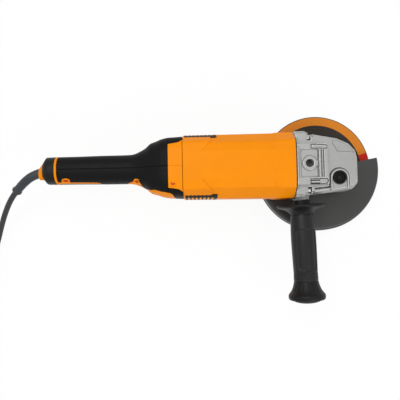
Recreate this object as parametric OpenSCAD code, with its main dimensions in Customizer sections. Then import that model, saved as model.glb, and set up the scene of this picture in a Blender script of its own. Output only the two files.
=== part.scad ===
// Angle grinder for a 180 mm disc, with a long rear handle and a screwed side handle.
// Lengths are in millimetres and angles in degrees. The origin lies on the spindle axis,
// in the outer face of the clamp nut. +X points to the nose, +Y to the left and +Z up.

/* [Grinding disc] */
// Outer diameter of the disc
disc_d = 186; // [150:1:190]
// Thickness of the disc
disc_t = 6; // [4:0.5:7]
// Bore of the disc
disc_bore_d = 22.23; // [22:0.01:22.6]
// How far the centre of the disc is set back
disc_depth = 4.6; // [3:0.1:5.5]
// Diameter of the flat set-back centre
disc_hub_d = 54; // [46:1:60]
// Width of the slope between the centre and the ring
disc_slope = 9; // [6:1:12]

/* [Spindle and flanges] */
// Diameter of the spindle thread
spindle_thread_d = 14; // [14:0.5:16]
// Diameter of the spindle where it leaves the gear head
spindle_collar_d = 20; // [18:0.5:22]
// Diameter of the spindle inside its lower bearing
spindle_seat_d = 17; // [15:0.5:17]
// Diameter of the spindle inside its upper bearing
spindle_top_d = 12; // [10:0.5:12]
// Diameter of the inner flange and of the clamp nut
flange_d = 40; // [36:1:44]
// Thickness of the inner flange
flange_t = 4.4; // [3:0.1:6]
// Thickness of the clamp nut below the disc
nut_t = 3.6; // [3:0.1:4]
// Pitch circle of the spanner holes in the clamp nut
spanner_pcd = 30; // [28:0.5:32]
// Diameter of a spanner hole
spanner_hole_d = 5; // [4:0.5:6]

/* [Gear head] */
// Height of the guard collar below the bearing cover
neck_h = 14; // [13:0.5:18]
// Diameter of the guard collar
neck_d = 60; // [58:1:64]
// Gap from the inner flange to the guard collar
neck_gap = 6; // [5:0.5:8]
// Thickness of the bearing cover
cover_t = 8; // [6:0.5:10]
// Side of the square bearing cover
cover_w = 74; // [74:1:78]
// Height of the motor axis above the underside of the gear case
axis_rise = 33; // [33:0.5:36]
// Height of the top of the gear case above the motor axis
case_rise = 46; // [45:0.5:50]
// Distance from the spindle axis back to the motor housing
head_back = 60; // [60:0.5:63]
// Distance from the spindle axis to the nose of the gear case
head_front = 38.7; // [38.7:0.1:47]
// Length of the flange that meets the motor housing
case_flange_t = 7; // [6:0.5:8]
// Half of the gear cavity's diameter
cavity_r = 37; // [36.8:0.1:37.4]
// Core diameter of the M14 handle holes
handle_hole_d = 12; // [11.5:0.1:12.2]
// Depth of the handle hole in the top
top_hole_depth = 18; // [14:0.5:20]

/* [Bevel gears] */
// Number of teeth on the crown gear
crown_teeth = 37; // [33:1:41]
// Number of teeth on the pinion
pinion_teeth = 11; // [11:1:12]
// Pitch radius of the crown gear at its rim
crown_pitch_r = 35; // [34:0.5:35]
// Length of the teeth along the crown's radius
face_w = 7.5; // [6:0.5:8]

/* [Motor] */
// Diameter of the bore that holds the stator
motor_bore_d = 88; // [84:1:89]
// Length of the laminated cores
core_len = 54; // [39:1:55]
// Diameter of the armature core
armature_d = 54; // [46:0.5:55]
// Air gap between the armature and the stator
air_gap = 0.8; // [0.6:0.1:1.2]
// Diameter of the commutator
commutator_d = 32; // [28:0.5:34]
// Diameter of the cooling fan
fan_d = 80; // [70:1:82]
// Number of fan blades
fan_blades = 13; // [9:1:17]
// Diameter of the armature shaft inside its front bearing
shaft_d = 12; // [11:0.5:12]

/* [Motor housing] */
// Length of the motor housing
housing_len = 165; // [163:1:180]
// Width of the housing at its rear end
housing_w_rear = 96.4; // [96:0.2:99]
// Width of the housing at its front end
housing_w_front = 100.8; // [100:0.2:104]
// Height of the housing
housing_h = 96; // [96:0.5:99]
// Width of the flat panel on top
panel_w = 42; // [36:1:46]
// Width between the outer creases beside the panel
crease_w = 68; // [64:1:70]
// How far the crease lies below the panel
crease_drop = 5; // [4:0.5:6]
// Height of the upright flank at each side
flank_h = 48; // [44:1:52]
// Length of the flared band at the front
band_len = 24; // [18:1:28]
// Length of a side vent
vent_len = 49; // [40:1:52]
// Height of a side vent
vent_h = 58; // [52:1:66]

/* [Rear handle] */
// Length of the collar that meets the housing
collar_len = 22; // [20:1:24]
// Length from the collar to the end of the grip
handle_len = 180; // [180:1:190]
// Width of the grip
grip_w = 43; // [42:0.5:46]
// Height of the grip
grip_h = 49; // [48:0.5:52]
// Thickness of the soft covering
soft_t = 1.6; // [1.2:0.1:2]
// Wall of the handle shells
shell_t = 3; // [2.5:0.1:3.4]
// Length of the tail cap
tail_len = 15.5; // [14:0.5:18]
// Length of the trigger
trigger_len = 84; // [76:1:88]
// Width of the trigger
trigger_w = 15; // [12:0.5:15]
// How far the trigger stands out below the grip at its free end
trigger_drop = 10; // [8.5:0.5:11]

/* [Side handle] */
// Place of the side handle behind the spindle axis
side_x = 43.5; // [42:0.5:45]
// How far the side handle leans to the front
side_lean = 2; // [1:0.5:3]
// Length of the side handle outside the gear case
side_len = 160; // [150:1:176]
// Diameter of its inner flange
side_flange_d = 77; // [66:1:80]
// Diameter of its end flange
side_end_d = 57; // [52:1:64]
// Diameter of the grip
side_grip_d = 39; // [36:1:44]

/* [Guard] */
// Outer radius of the guard
guard_r = 102; // [97:0.5:106]
// Thickness of the guard's sheet
guard_t = 2; // [1.5:0.1:2.4]
// Angle that the guard covers
guard_angle = 180; // [160:1:190]
// Height of the guard's skirt
guard_h = 22; // [18:0.5:22.5]
// Running clearance of the clamp band on its collar
band_gap = 0.3; // [0.2:0.05:0.5]

/* [Cord] */
// Diameter of the cord
cord_d = 9; // [8:0.5:10]

/* [Hidden] */
$fn = 64;

// Clearances
fit = 0.02; // a shaft or a press seat in its hole
slack = 0.3; // between moving pieces that don't guide each other

// Heights along the spindle, from the clamp nut up
hub_z = nut_t;
ring_z = hub_z - disc_depth;
hub_top = hub_z + disc_t;
flange_top = hub_top + flange_t;
neck_z = flange_top + neck_gap;
cover_z = neck_z + neck_h;
case_z = cover_z + cover_t;
motor_z = case_z + axis_rise;
case_top = motor_z + case_rise;
bearing_t = 12;
seal_t = 3;
lower_bearing_z = neck_z + 2 + seal_t + 2;
spigot_t = 3;
upper_bearing_t = 9;
upper_bearing_z = case_top - 28;
lower_bearing_r = 20;
upper_bearing_r = 14;
spindle_top = upper_bearing_z + upper_bearing_t;

// Places along the motor axis, from the gear head back
housing_x = -head_back;
front_bearing_t = 10;
front_bearing_r = 16;
front_bearing_x = housing_x - 2;
plate_t = front_bearing_t + 4;
plate_x = housing_x - plate_t;
fan_x = plate_x - 3;
fan_t = 16;
baffle_x = fan_x - fan_t - 2;
baffle_t = 3;
core_x = baffle_x - baffle_t - 14;
core_end = core_x - core_len;
winding_len = 12;
commutator_x = core_end - winding_len - 3;
commutator_len = 20;
housing_end = housing_x - housing_len;
end_wall = 4;
rear_bearing_r = 11;
rear_bearing_t = 7;
rear_bearing_x = housing_end + end_wall + 1 + rear_bearing_t;
rear_shaft_r = 4;
bore_r = motor_bore_d / 2;
brush_x = commutator_x - commutator_len / 2;

// Bevel gears: both pitch cones meet where the spindle crosses the motor axis
pinion_pitch_r = crown_pitch_r * pinion_teeth / crown_teeth;
cone_len = norm([crown_pitch_r, pinion_pitch_r]);
crown_angle = atan2(crown_pitch_r, pinion_pitch_r);
pinion_angle = 90 - crown_angle;
gear_module = 2 * crown_pitch_r / crown_teeth;
addendum = 0.62 * gear_module;
dedendum = 1.05 * gear_module;
tooth_w = 1.22 * gear_module;
tip_w = 0.75 * gear_module;
crown_rim_r = crown_pitch_r + 0.3;
crown_inner_r = crown_rim_r - face_w;
web_top = motor_z - pinion_pitch_r - 4.6;
web_t = 4;
lock_hole_r = 3.6;
lock_hole_count = 7;

// Spindle lock, on the right of the nose
lock_x = 9;
lock_y = -22;
lock_r = norm([lock_x, lock_y]);
lock_angle = atan2(lock_y, lock_x);
lock_travel = 7;
lock_pin_r = 2.5;
lock_button_r = 10;
lock_collar_r = 13.5;
nose_top = case_top - 9;
lock_collar_top = nose_top + 3.4;
lock_pocket_z = nose_top - 8;
lock_pin_bottom = web_top + 2;

// Case screws at the corners of the housing's front face
screw_y = 39.5;
screw_z = 31;
screw_seat = 22;
case_head_r = 3.8;
cover_screw = cover_w / 2 - 8;
cover_head_inset = 0.2;
cover_head_t = 3;

// Side handle socket, on the motor's height at each side of the case
side_face = 53;
socket_r = 13;

// Rear handle: its shells run from the housing to the tail cap
handle_x = housing_end;
grip_end = handle_x - collar_len - handle_len;
tail_end = grip_end - tail_len;
bush_len = 8;
bush_end = tail_end - bush_len;
soft_low = -34;
soft_gap = 0.3;
soft_from = collar_len + 3;
soft_to = collar_len + handle_len - 6;

// Stations along the rear handle: place behind the housing, half width, half height,
// and the exponent of the rounded cross-section
grip_r = grip_w / 2;
grip_rz = grip_h / 2;
flare_end = collar_len + 66;
slot_to = flare_end + trigger_len + 9.3;
stations = [
    [0, housing_w_rear / 2 - 1.2, housing_h / 2 - 0.5, 4.2],
    [collar_len, housing_w_rear / 2 - 2.2, housing_h / 2 - 1.5, 4.1],
    [collar_len + 3, housing_w_rear / 2 - 2.6, housing_h / 2 - 2, 4],
    [collar_len + 11, housing_w_rear / 2 - 4.2, housing_h / 2 - 3.6, 3.8],
    [collar_len + 19, housing_w_rear / 2 - 7, housing_h / 2 - 6.5, 3.5],
    [collar_len + 28, grip_r + 17, grip_rz + 13, 3.2],
    [collar_len + 36, grip_r + 10.5, grip_rz + 8.5, 2.9],
    [collar_len + 45, grip_r + 5.7, grip_rz + 5, 2.7],
    [collar_len + 54, grip_r + 1.8, grip_rz + 1.8, 2.5],
    [flare_end, grip_r, grip_rz, 2.4],
    [flare_end + 0.6, grip_r, grip_rz, 2.4],
    [slot_to - 0.3, grip_r, grip_rz, 2.4],
    [slot_to + 0.3, grip_r, grip_rz, 2.4],
    [soft_to, grip_r, grip_rz, 2.4],
    [collar_len + handle_len, grip_r - 0.4, grip_rz - 0.4, 2.4]
];
slot_from = flare_end + 0.3;
slot_half = trigger_w / 2 + 0.6;

// Trigger and switch, seen from the side
trigger_pivot_x = handle_x - flare_end - trigger_len - 2;
trigger_pivot_z = motor_z - grip_rz + 9;
trigger_top = motor_z - grip_rz + 3.5;
trigger_turn = 6;
trunnion_r = 2.5;
trunnion_y = slot_half + 3.5;
lock_off_pivot_r = 1.5;
lock_off_pivot_y = 5.5;
ear_y = grip_r - soft_t - shell_t - 0.7;
switch_x = trigger_pivot_x + 26;
switch_len = 44;
switch_w = 20;
switch_z = motor_z - 9;
switch_top = motor_z + 15;
plunger_x = trigger_pivot_x + 44;
plunger_travel = 44 * trigger_turn * PI / 180;
plunger_bottom = trigger_top + slack;
spring_x = trigger_pivot_x + 19;

// Handle screws: place behind the housing, height above the motor axis, and the distance
// from the middle at which the head sits
handle_screw_spots = [
    [collar_len + 48, 12, 19],
    [collar_len + 158.5, 10, 14.5]
];
screw_head_r = 4;
handle_boss_r = 6.5;
screw_r = 2;
collar_screw_s = 15;
collar_screw_y = 22;

// Free cord: the route's own points, from the bend protector to the coil
relief_r = 7.5;
relief_inner = 14.5;
relief_path = [
    [-449.5, -0.6, 75], [-457, -3.8, 74.9], [-466.5, -9, 74.2],
    [-476.5, -16.4, 71.5], [-485.5, -23.8, 67], [-493, -30, 61.5]
];
cord_route = [
    [-493.4, -30.4, 61.2], [-500.5, -37.5, 57], [-509, -47, 49.5], [-518, -58.5, 39.5],
    [-527, -72.5, 29], [-536, -90, 18.5], [-544, -110, 11], [-553, -132, 6.5],
    [-561, -155, 4.2], [-568, -178, 3.6], [-572.5, -198, 3.5], [-574, -216, 3.5]
];
coil_centre = [-638, -216];
coil_outer_r = 64;
coil_turns = 3;
coil_layers = 2;
floor_z = ring_z;
plug_route = [
    [-702, -216, 12.5], [-702, -196, 12.3], [-702, -174, 10.5], [-703, -152, 7], [-704, -132, 5.2]
];
plug_start = [-704, -132, 5.2];
plug_len = 52;
plug_w = 35;
plug_t = 12.4;
pin_gap = 19;
pin_len = 19;
pin_r = 2.4;
pin_root_r = 3;
pin_shoulder = 0.3;
plug_face = plug_start[1] + plug_len;

// ---------------------------------------------------------------- helpers

function unit(v) = v / norm(v);

// Points of the arc that rounds the corner b between its neighbours a and c
function corner_arc(a, b, c, r, steps) =
    let (
        u = unit(a - b),
        v = unit(c - b),
        half = acos(u * v) / 2,
        centre = b + unit(u + v) * r / sin(half),
        start = b + u * r / tan(half) - centre,
        turn = (u[0] * v[1] - u[1] * v[0] < 0 ? 1 : -1) * (180 - 2 * half),
        first = atan2(start[1], start[0])
    )
    [for (i = [0 : steps]) centre + r * [cos(first + turn * i / steps), sin(first + turn * i / steps)]];

// An outline with each corner rounded by its own radius
function rounded(points, radii, steps = 5) =
    let (n = len(points))
    [for (i = [0 : n - 1])
        each corner_arc(points[(i + n - 1) % n], points[i], points[(i + 1) % n], radii[i], steps)];

function same(value, count) = [for (i = [1 : count]) value];

// A ring on the spindle axis
module ring(outer_r, inner_r, z0, z1) {
    translate([0, 0, z0])
        difference() {
            cylinder(r = outer_r, h = z1 - z0);
            translate([0, 0, -1])
                cylinder(r = inner_r, h = z1 - z0 + 2);
        }
}

// Children drawn upright are turned onto the motor axis, with their base at x
module on_motor(x) {
    translate([x, 0, motor_z])
        rotate([0, 90, 0])
            children();
}

// A ring or a rod on the motor axis
module motor_ring(outer_r, inner_r, x0, x1) {
    on_motor(x0)
        difference() {
            cylinder(r = outer_r, h = x1 - x0);
            translate([0, 0, -1])
                cylinder(r = inner_r, h = x1 - x0 + 2);
        }
}

module motor_rod(r, x0, x1) {
    on_motor(x0)
        cylinder(r = r, h = x1 - x0);
}

// A flat outline in Y and Z, drawn around the motor axis and extruded along X
module motor_prism(points, x0, x1) {
    translate([x0, 0, motor_z])
        rotate([90, 0, 90])
            linear_extrude(x1 - x0)
                polygon(points);
}

// A rod along Y, from y0 to y1
module rod_y(r, x, z, y0, y1) {
    translate([x, y1, z])
        rotate([90, 0, 0])
            cylinder(r = r, h = y1 - y0);
}

// A box given by two corners
module block(low, high) {
    translate(low)
        cube(high - low);
}

// A closed skin over rings of points, each ring with as many points. The second half of
// a folded ring runs back beside its first half, so its ends are closed by a strip.
module skin(rings, folded = false) {
    count = len(rings[0]);
    half = count / 2;
    last = len(rings) - 1;
    points = [for (r = rings) each r];
    sides = [for (j = [0 : last - 1]) for (i = [0 : count - 1])
        [j * count + i, j * count + (i + 1) % count,
         (j + 1) * count + (i + 1) % count, (j + 1) * count + i]];
    start = folded
        ? [for (i = [0 : half - 2]) [count - 1 - i, count - 2 - i, i + 1, i]]
        : [[for (i = [count - 1 : -1 : 0]) i]];
    end = [for (f = start) [for (i = [len(f) - 1 : -1 : 0]) last * count + f[i]]];
    polyhedron(points, concat(start, sides, end));
}

// ---------------------------------------------------------------- gear head

// The case's outline from above; a negative inset widens it at the nose and narrows its rear
function case_outline(inset) =
    let (rear = max(inset, -0.8 * inset), side = max(inset, 0.3 * inset))
    rounded([
        [-head_back, -50.4 + rear], [-44, -49.6 + rear], [-40, -47.2 + rear],
        [31 - 0.6 * inset, -38 + side], [head_front - inset, -29],
        [head_front - inset, 8], [head_front - 2.7 - inset, 19.5 - 0.3 * inset],
        [26 - 0.8 * inset, 30.5 - 0.7 * inset], [8, 38.8 - side],
        [-35, 45.6 - rear], [-40, 50.8 - rear], [-head_back, 50.8 - rear]
    ], [0.5, 2, 2, 8, 8, 8, 6, 6, 6, 2, 2, 0.5]);

// The case is drawn in as it rises: each tier's lower edge and the inset of its outline
case_tiers = [
    [case_z, -5.5], [case_z + 16, -2.8], [motor_z + 17, 0],
    [nose_top - 8, 2], [nose_top - 4, 4.5], [nose_top, 4.5]
];

function housing_profile(width, height) =
    let (w = width / 2, h = height / 2, c = crease_w / 2, p = panel_w / 2, f = flank_h / 2)
    rounded([
        [w, -f], [w, f], [c, h - crease_drop], [p, h],
        [-p, h], [-c, h - crease_drop], [-w, f],
        [-w, -f], [-c, crease_drop - h], [-p, -h], [p, -h], [c, crease_drop - h]
    ], [8, 8, 9, 2, 2, 9, 8, 8, 9, 2, 2, 9]);

// The M14 socket for a side handle, pointing out of the side given by its sign
module side_socket(side, r, from, to) {
    translate([-side_x, 0, motor_z])
        rotate([0, 0, -side * side_lean])
            rotate([-side * 90, 0, 0])
                translate([0, 0, from])
                    cylinder(r = r, h = to - from);
}

module case_outside() {
    for (i = [1 : len(case_tiers) - 1])
        translate([0, 0, case_tiers[i - 1][0]])
            linear_extrude(case_tiers[i][0] - case_tiers[i - 1][0])
                polygon(case_outline(case_tiers[i - 1][1]));
    // raised block behind the nose
    translate([0, 0, nose_top - 1])
        linear_extrude(case_top - nose_top + 1)
            polygon(rounded([
                [-head_back, -32], [-8, -32], [-10, 29], [-head_back, 29]
            ], [0.5, 3, 3, 0.5]));
    motor_prism(housing_profile(housing_w_front + 1, housing_h), housing_x, housing_x + case_flange_t);
    intersection() {
        for (side = [-1, 1])
            side_socket(side, socket_r, 30, side_face);
        block([-head_back, -70, case_z], [0, 70, case_top]);
    }
    intersection() {
        lock_surround(lock_collar_r, nose_top - 6, lock_collar_top);
        translate([0, 0, case_z])
            linear_extrude(case_rise + axis_rise)
                polygon(case_outline(2));
    }
}

// The outline of the lock's collar: round about the button and open towards the right
module lock_surround(r, z0, z1) {
    translate([lock_x, lock_y, z0]) {
        cylinder(r = r, h = z1 - z0);
        translate([-r, -30, 0])
            cube([2 * r, 30, z1 - z0]);
    }
}

// Room for the screw heads, open to the side and to the top or bottom
module screw_pockets() {
    low = case_head_r + 0.7;
    room = [5.5, 26, 26];
    for (y = [-1, 1])
        for (z = [-1, 1])
            translate([housing_x + screw_seat, 0, motor_z])
                scale([1, y, z])
                    translate([0, screw_y - low, screw_z - low])
                        cube(room);
}

module case_screw_holes() {
    for (y = [-screw_y, screw_y])
        for (z = [-screw_z, screw_z])
            translate([housing_x - 1, y, motor_z + z])
                rotate([0, 90, 0])
                    cylinder(r = screw_r + 0.5 + fit, h = screw_seat + 2);
}

module gear_case() {
    color("silver")
        difference() {
            case_outside();
            // gear cavity, pinion tunnel and bearing seats
            translate([0, 0, case_z - 1])
                cylinder(r = cavity_r, h = motor_z + 13 - case_z + 1);
            motor_rod(17, housing_x - 1, -15);
            translate([0, 0, motor_z + 5])
                cylinder(r = upper_bearing_r + fit, h = spindle_top + 1 - motor_z - 5);
            // top handle hole, in a recessed plate between two ribs
            translate([-36.5, 0, case_top - top_hole_depth])
                cylinder(r = handle_hole_d / 2, h = top_hole_depth + 1);
            difference() {
                block([-head_back + 10.2, -panel_w / 2, case_top - 2.5], [-25, panel_w / 2, case_top + 1]);
                translate([-36.5, 0, case_top - 4])
                    cylinder(r = 11, h = 4.6);
            }
            // side handle holes
            for (side = [-1, 1])
                side_socket(side, handle_hole_d / 2, 28, side_face + 1);
            // lock button and lock pin, with the floor inside the collar
            lock_surround(lock_button_r + 1, nose_top, case_top);
            translate([lock_x, lock_y, lock_pocket_z])
                cylinder(r = lock_button_r + slack, h = 30);
            translate([lock_x, lock_y, motor_z])
                cylinder(r = lock_pin_r + 0.05, h = 40);
            screw_pockets();
            case_screw_holes();
            // screw holes for the bearing cover
            for (x = [-1, 1])
                for (y = [-1, 1])
                    translate([x * cover_screw, y * cover_screw, case_z - 1])
                        cylinder(r = screw_r, h = 15);
        }
}

module case_screws() {
    color("dimgray")
        for (y = [-screw_y, screw_y])
            for (z = [-screw_z, screw_z])
                translate([housing_x, y, motor_z + z])
                    rotate([0, 90, 0])
                        difference() {
                            union() {
                                translate([0, 0, -22])
                                    cylinder(r = screw_r + 0.5, h = 22 + screw_seat);
                                translate([0, 0, screw_seat])
                                    cylinder(r = case_head_r, h = 4);
                            }
                            translate([0, 0, screw_seat + 1.6])
                                cylinder(r = 2.2, h = 4, $fn = 6);
                        }
}

module bearing_cover() {
    w = cover_w / 2;
    color("silver")
        difference() {
            union() {
                translate([0, 0, cover_z])
                    linear_extrude(cover_t)
                        polygon(rounded([[-w, -w], [w, -w], [w, w], [-w, w]], same(9, 4)));
                translate([0, 0, neck_z])
                    cylinder(r = neck_d / 2, h = neck_h + 1);
                translate([0, 0, case_z - 1])
                    cylinder(r = cavity_r - fit, h = spigot_t + 1);
            }
            translate([0, 0, neck_z - 1])
                cylinder(r = spindle_collar_d / 2 + slack, h = 5);
            translate([0, 0, neck_z + 2])
                cylinder(r = spindle_collar_d / 2 + 5, h = 20);
            translate([0, 0, lower_bearing_z])
                cylinder(r = lower_bearing_r, h = case_z + spigot_t - lower_bearing_z + 1);
            for (x = [-1, 1])
                for (y = [-1, 1])
                    translate([x * cover_screw, y * cover_screw, cover_z - 1]) {
                        cylinder(r = screw_r + 0.3, h = cover_t + spigot_t + 2);
                        cylinder(r = 4.3, h = cover_head_inset + cover_head_t + 1);
                    }
        }
}

module cover_screws() {
    color("dimgray")
        for (x = [-1, 1])
            for (y = [-1, 1])
                translate([x * cover_screw, y * cover_screw, cover_z + cover_head_inset])
                    difference() {
                        union() {
                            cylinder(r = 4, h = cover_head_t);
                            cylinder(r = screw_r - fit, h = cover_t + 12);
                        }
                        translate([0, 0, -1])
                            cylinder(r = 2.2, h = 2.6, $fn = 6);
                    }
}

// A ball bearing: an outer race, an inner race and a row of balls between its shields
module bearing(outer_r, inner_r, t) {
    rim = (outer_r - inner_r) * 0.24;
    difference() {
        cylinder(r = outer_r, h = t);
        translate([0, 0, -1])
            cylinder(r = inner_r, h = t + 2);
        for (z = [-1, t - 0.6])
            translate([0, 0, z])
                difference() {
                    cylinder(r = outer_r - rim, h = 1.6);
                    translate([0, 0, -1])
                        cylinder(r = inner_r + rim, h = 4);
                }
    }
}

module lower_bearing() {
    color("lightgray")
        translate([0, 0, lower_bearing_z])
            bearing(lower_bearing_r - fit, spindle_seat_d / 2 + fit, bearing_t);
}

module upper_bearing() {
    color("lightgray")
        translate([0, 0, upper_bearing_z])
            bearing(upper_bearing_r, spindle_top_d / 2 + fit, upper_bearing_t);
}

module spindle_seal() {
    color("black")
        ring(spindle_collar_d / 2 + 5 - fit, spindle_collar_d / 2 + 0.1, neck_z + 2, neck_z + 2 + seal_t);
}

module spindle() {
    collar_top = lower_bearing_z - 0.2;
    color("lightgray")
        union() {
            translate([0, 0, 1])
                cylinder(r = spindle_thread_d / 2, h = flange_top);
            translate([0, 0, flange_top])
                cylinder(r = spindle_collar_d / 2, h = collar_top - flange_top);
            translate([0, 0, collar_top - 1])
                cylinder(r = spindle_seat_d / 2, h = motor_z - collar_top);
            translate([0, 0, motor_z - 2])
                cylinder(r = spindle_top_d / 2, h = spindle_top - motor_z + 2);
        }
}

// ---------------------------------------------------------------- bevel gears

// One gear's outline at unit distance from the apex of the pitch cones
function tooth_points(angle, r) =
    let (
        up = atan(addendum / cone_len),
        down = atan(dedendum / cone_len),
        half = 90 / PI / r
    )
    [
        [tan(angle - down), tooth_w * 1.12 * half], [tan(angle), tooth_w * half],
        [tan(angle + up), tip_w * half]
    ];

function gear_outline(teeth, angle, r, start) =
    let (p = tooth_points(angle, r), q = concat([for (t = p) [t[0], -t[1]]], [p[2], p[1], p[0]]))
    [for (i = [0 : teeth - 1]) for (t = q)
        let (a = start + i * 360 / teeth + t[1]) t[0] * [cos(a), sin(a)]];

// The toothed cone between two distances from the apex
module bevel_teeth(outline, far, near) {
    linear_extrude(far - near, scale = near / far)
        polygon(far * outline);
}

module crown_gear() {
    far = motor_z - web_top;
    near = (crown_inner_r) / tan(crown_angle + 3);
    color("gray")
        union() {
            intersection() {
                translate([0, 0, web_top])
                    bevel_teeth(
                        gear_outline(crown_teeth, crown_angle, crown_pitch_r, 180 + 180 / crown_teeth),
                        far, near);
                ring(crown_rim_r, crown_inner_r, web_top, motor_z);
            }
            difference() {
                union() {
                    translate([0, 0, web_top - web_t])
                        cylinder(r = crown_rim_r, h = web_t + 0.5);
                    translate([0, 0, lower_bearing_z + bearing_t])
                        cylinder(r = 13, h = web_top - lower_bearing_z - bearing_t);
                }
                translate([0, 0, lower_bearing_z])
                    cylinder(r = spindle_seat_d / 2 + fit, h = 60);
                translate([0, 0, web_top])
                    cylinder(r = crown_inner_r, h = 5);
                for (i = [0 : lock_hole_count - 1])
                    rotate([0, 0, lock_angle + 360 / lock_hole_count * i])
                        translate([lock_r, 0, web_top - web_t - 1])
                            cylinder(r = lock_hole_r, h = web_t + 3);
            }
        }
}

module pinion() {
    far = crown_pitch_r + 1;
    near = crown_inner_r - 0.5;
    color("gray")
        difference() {
            union() {
                on_motor(-far)
                    bevel_teeth(gear_outline(pinion_teeth, pinion_angle, pinion_pitch_r, 0), far, near);
                motor_rod(8.4, -far - 5, 0.1 - far);
            }
            motor_rod(4.5 + fit, -far - 6, 0);
        }
}

module pinion_nut() {
    near = crown_inner_r - 0.5;
    color("lightgray")
        on_motor(-near)
            difference() {
                cylinder(r = 6.6, h = 5, $fn = 6);
                translate([0, 0, -1])
                    cylinder(r = 4.5 + fit, h = 7);
            }
}

// ---------------------------------------------------------------- disc and its clamping

module inner_flange() {
    color("lightgray")
        difference() {
            union() {
                ring(flange_d / 2, spindle_thread_d / 2 + fit, hub_top, flange_top);
                ring(disc_bore_d / 2 - 0.1, spindle_thread_d / 2 + fit, hub_top - 2.5, hub_top + 1);
            }
            ring(flange_d / 2 - 5, spindle_thread_d / 2 + 6, hub_top - 3, hub_top + 1);
        }
}

module grinding_disc() {
    hub = disc_hub_d / 2;
    color("darkorange")
        rotate_extrude()
            polygon([
                [disc_bore_d / 2, hub_z], [hub, hub_z], [hub + disc_slope, ring_z],
                [disc_d / 2, ring_z], [disc_d / 2, ring_z + disc_t],
                [hub + disc_slope, ring_z + disc_t], [hub, hub_top], [disc_bore_d / 2, hub_top]
            ]);
}

module clamp_nut() {
    color("dimgray")
        difference() {
            union() {
                cylinder(r = flange_d / 2, h = nut_t);
                cylinder(r = disc_bore_d / 2 - 0.1, h = nut_t + 2.5);
            }
            translate([0, 0, -1])
                cylinder(r = spindle_thread_d / 2 + fit, h = 12);
            for (side = [-1, 1])
                translate([side * spanner_pcd / 2, 0, -1])
                    cylinder(r = spanner_hole_d / 2, h = nut_t + 0.5);
        }
}

// ---------------------------------------------------------------- spindle lock

module lock_button() {
    color("black")
        translate([lock_x, lock_y, lock_pocket_z + lock_travel + 0.3])
            difference() {
                union() {
                    cylinder(r = lock_button_r, h = 5);
                    translate([0, 0, 5])
                        cylinder(r1 = lock_button_r, r2 = lock_button_r - 1.5, h = 2.4);
                }
                translate([0, 0, 5.4])
                    difference() {
                        cylinder(r = 6.2, h = 3);
                        translate([0, 0, -1])
                            cylinder(r = 4.6, h = 5);
                    }
                translate([0, 0, -1])
                    cylinder(r = 7.5, h = 3);
            }
}

module lock_pin() {
    color("lightgray")
        translate([lock_x, lock_y, lock_pin_bottom])
            cylinder(r = lock_pin_r, h = lock_pocket_z + lock_travel + 2.3 - lock_pin_bottom);
}

module lock_spring() {
    color("silver")
        translate([lock_x, lock_y, lock_pocket_z + 0.1])
            difference() {
                cylinder(r = 5.5, h = lock_travel + 2.1);
                translate([0, 0, -1])
                    cylinder(r = 4.4, h = lock_travel + 5);
            }
}

// ---------------------------------------------------------------- guard

guard_start = 10.5;
guard_top = neck_z + 3;
ear_angle = 62;
collar_r = neck_d / 2;
band_r = collar_r + band_gap + 2.4;
band_h = 9;

module guard_shell() {
    low = guard_top - guard_h;
    bend = 4;
    rib = 0.3;
    color("dimgray")
        union() {
            rotate([0, 0, guard_start])
                rotate_extrude(angle = -guard_angle, $fn = 128)
                    polygon(concat(
                        [[collar_r + 6, guard_top - guard_t], [guard_r - bend, guard_top - guard_t]],
                        [for (a = [75 : -15 : 0])
                            [guard_r - bend + (bend - guard_t) * cos(a),
                                guard_top - bend + (bend - guard_t) * sin(a)]],
                        [[guard_r - guard_t, low], [guard_r + 0.8, low],
                            [guard_r + 0.8, low + 2], [guard_r, low + 2.8]],
                        [for (a = [0 : 15 : 90])
                            [guard_r - bend + bend * cos(a), guard_top - bend + bend * sin(a)]],
                        [[collar_r + 6, guard_top]]
                    ));
            ring(collar_r + 12, collar_r + band_gap, guard_top - guard_t - rib, guard_top + rib);
        }
}

// The band's ears and their screw, seen in the band's own frame
module band_frame() {
    rotate([0, 0, ear_angle])
        translate([0, 0, guard_top])
            children();
}

module guard_band() {
    color("gray")
        difference() {
            union() {
                ring(band_r, collar_r + band_gap, guard_top + 0.3, guard_top + band_h);
                band_frame()
                    for (side = [-1, 1])
                        translate([band_r - 1.2, side * 2.75 - 1.5, 0.8])
                            cube([11.2, 3, band_h - 1.3]);
            }
            band_frame() {
                translate([collar_r - 2, -1.75, -1])
                    cube([16, 3.5, band_h + 2]);
                translate([band_r + 5.5, 10, band_h / 2])
                    rotate([90, 0, 0])
                        cylinder(r = 2.5 + fit, h = 20);
            }
        }
}

module guard_screw() {
    color("lightgray")
        band_frame()
            translate([band_r + 5.5, 0, band_h / 2])
                rotate([90, 0, 0]) {
                    translate([0, 0, -8.4])
                        cylinder(r = 2.5, h = 13);
                    translate([0, 0, 4.25])
                        difference() {
                            cylinder(r = 4, h = 3.6);
                            translate([0, 0, 1.6])
                                cylinder(r = 2, h = 4, $fn = 6);
                        }
                    translate([0, 0, -8])
                        difference() {
                            cylinder(r = 4.2, h = 3.75, $fn = 6);
                            translate([0, 0, -1])
                                cylinder(r = 2.5, h = 6);
                        }
                }
}

// ---------------------------------------------------------------- motor

module bearing_plate() {
    color("silver")
        difference() {
            motor_rod(bore_r - fit, plate_x, housing_x);
            motor_rod(front_bearing_r, front_bearing_x - front_bearing_t, 0);
            motor_rod(shaft_d / 2 + 2, plate_x - 1, 0);
            for (a = [45 : 90 : 315])
                translate([plate_x - 1, 0, motor_z])
                    rotate([a, 0, 0])
                        translate([0, 30, 0])
                            rotate([0, 90, 0])
                                cylinder(r = 8, h = plate_t + 2);
        }
}

module front_bearing() {
    color("lightgray")
        on_motor(front_bearing_x - front_bearing_t)
            bearing(front_bearing_r - fit, shaft_d / 2 + fit, front_bearing_t);
}

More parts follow.
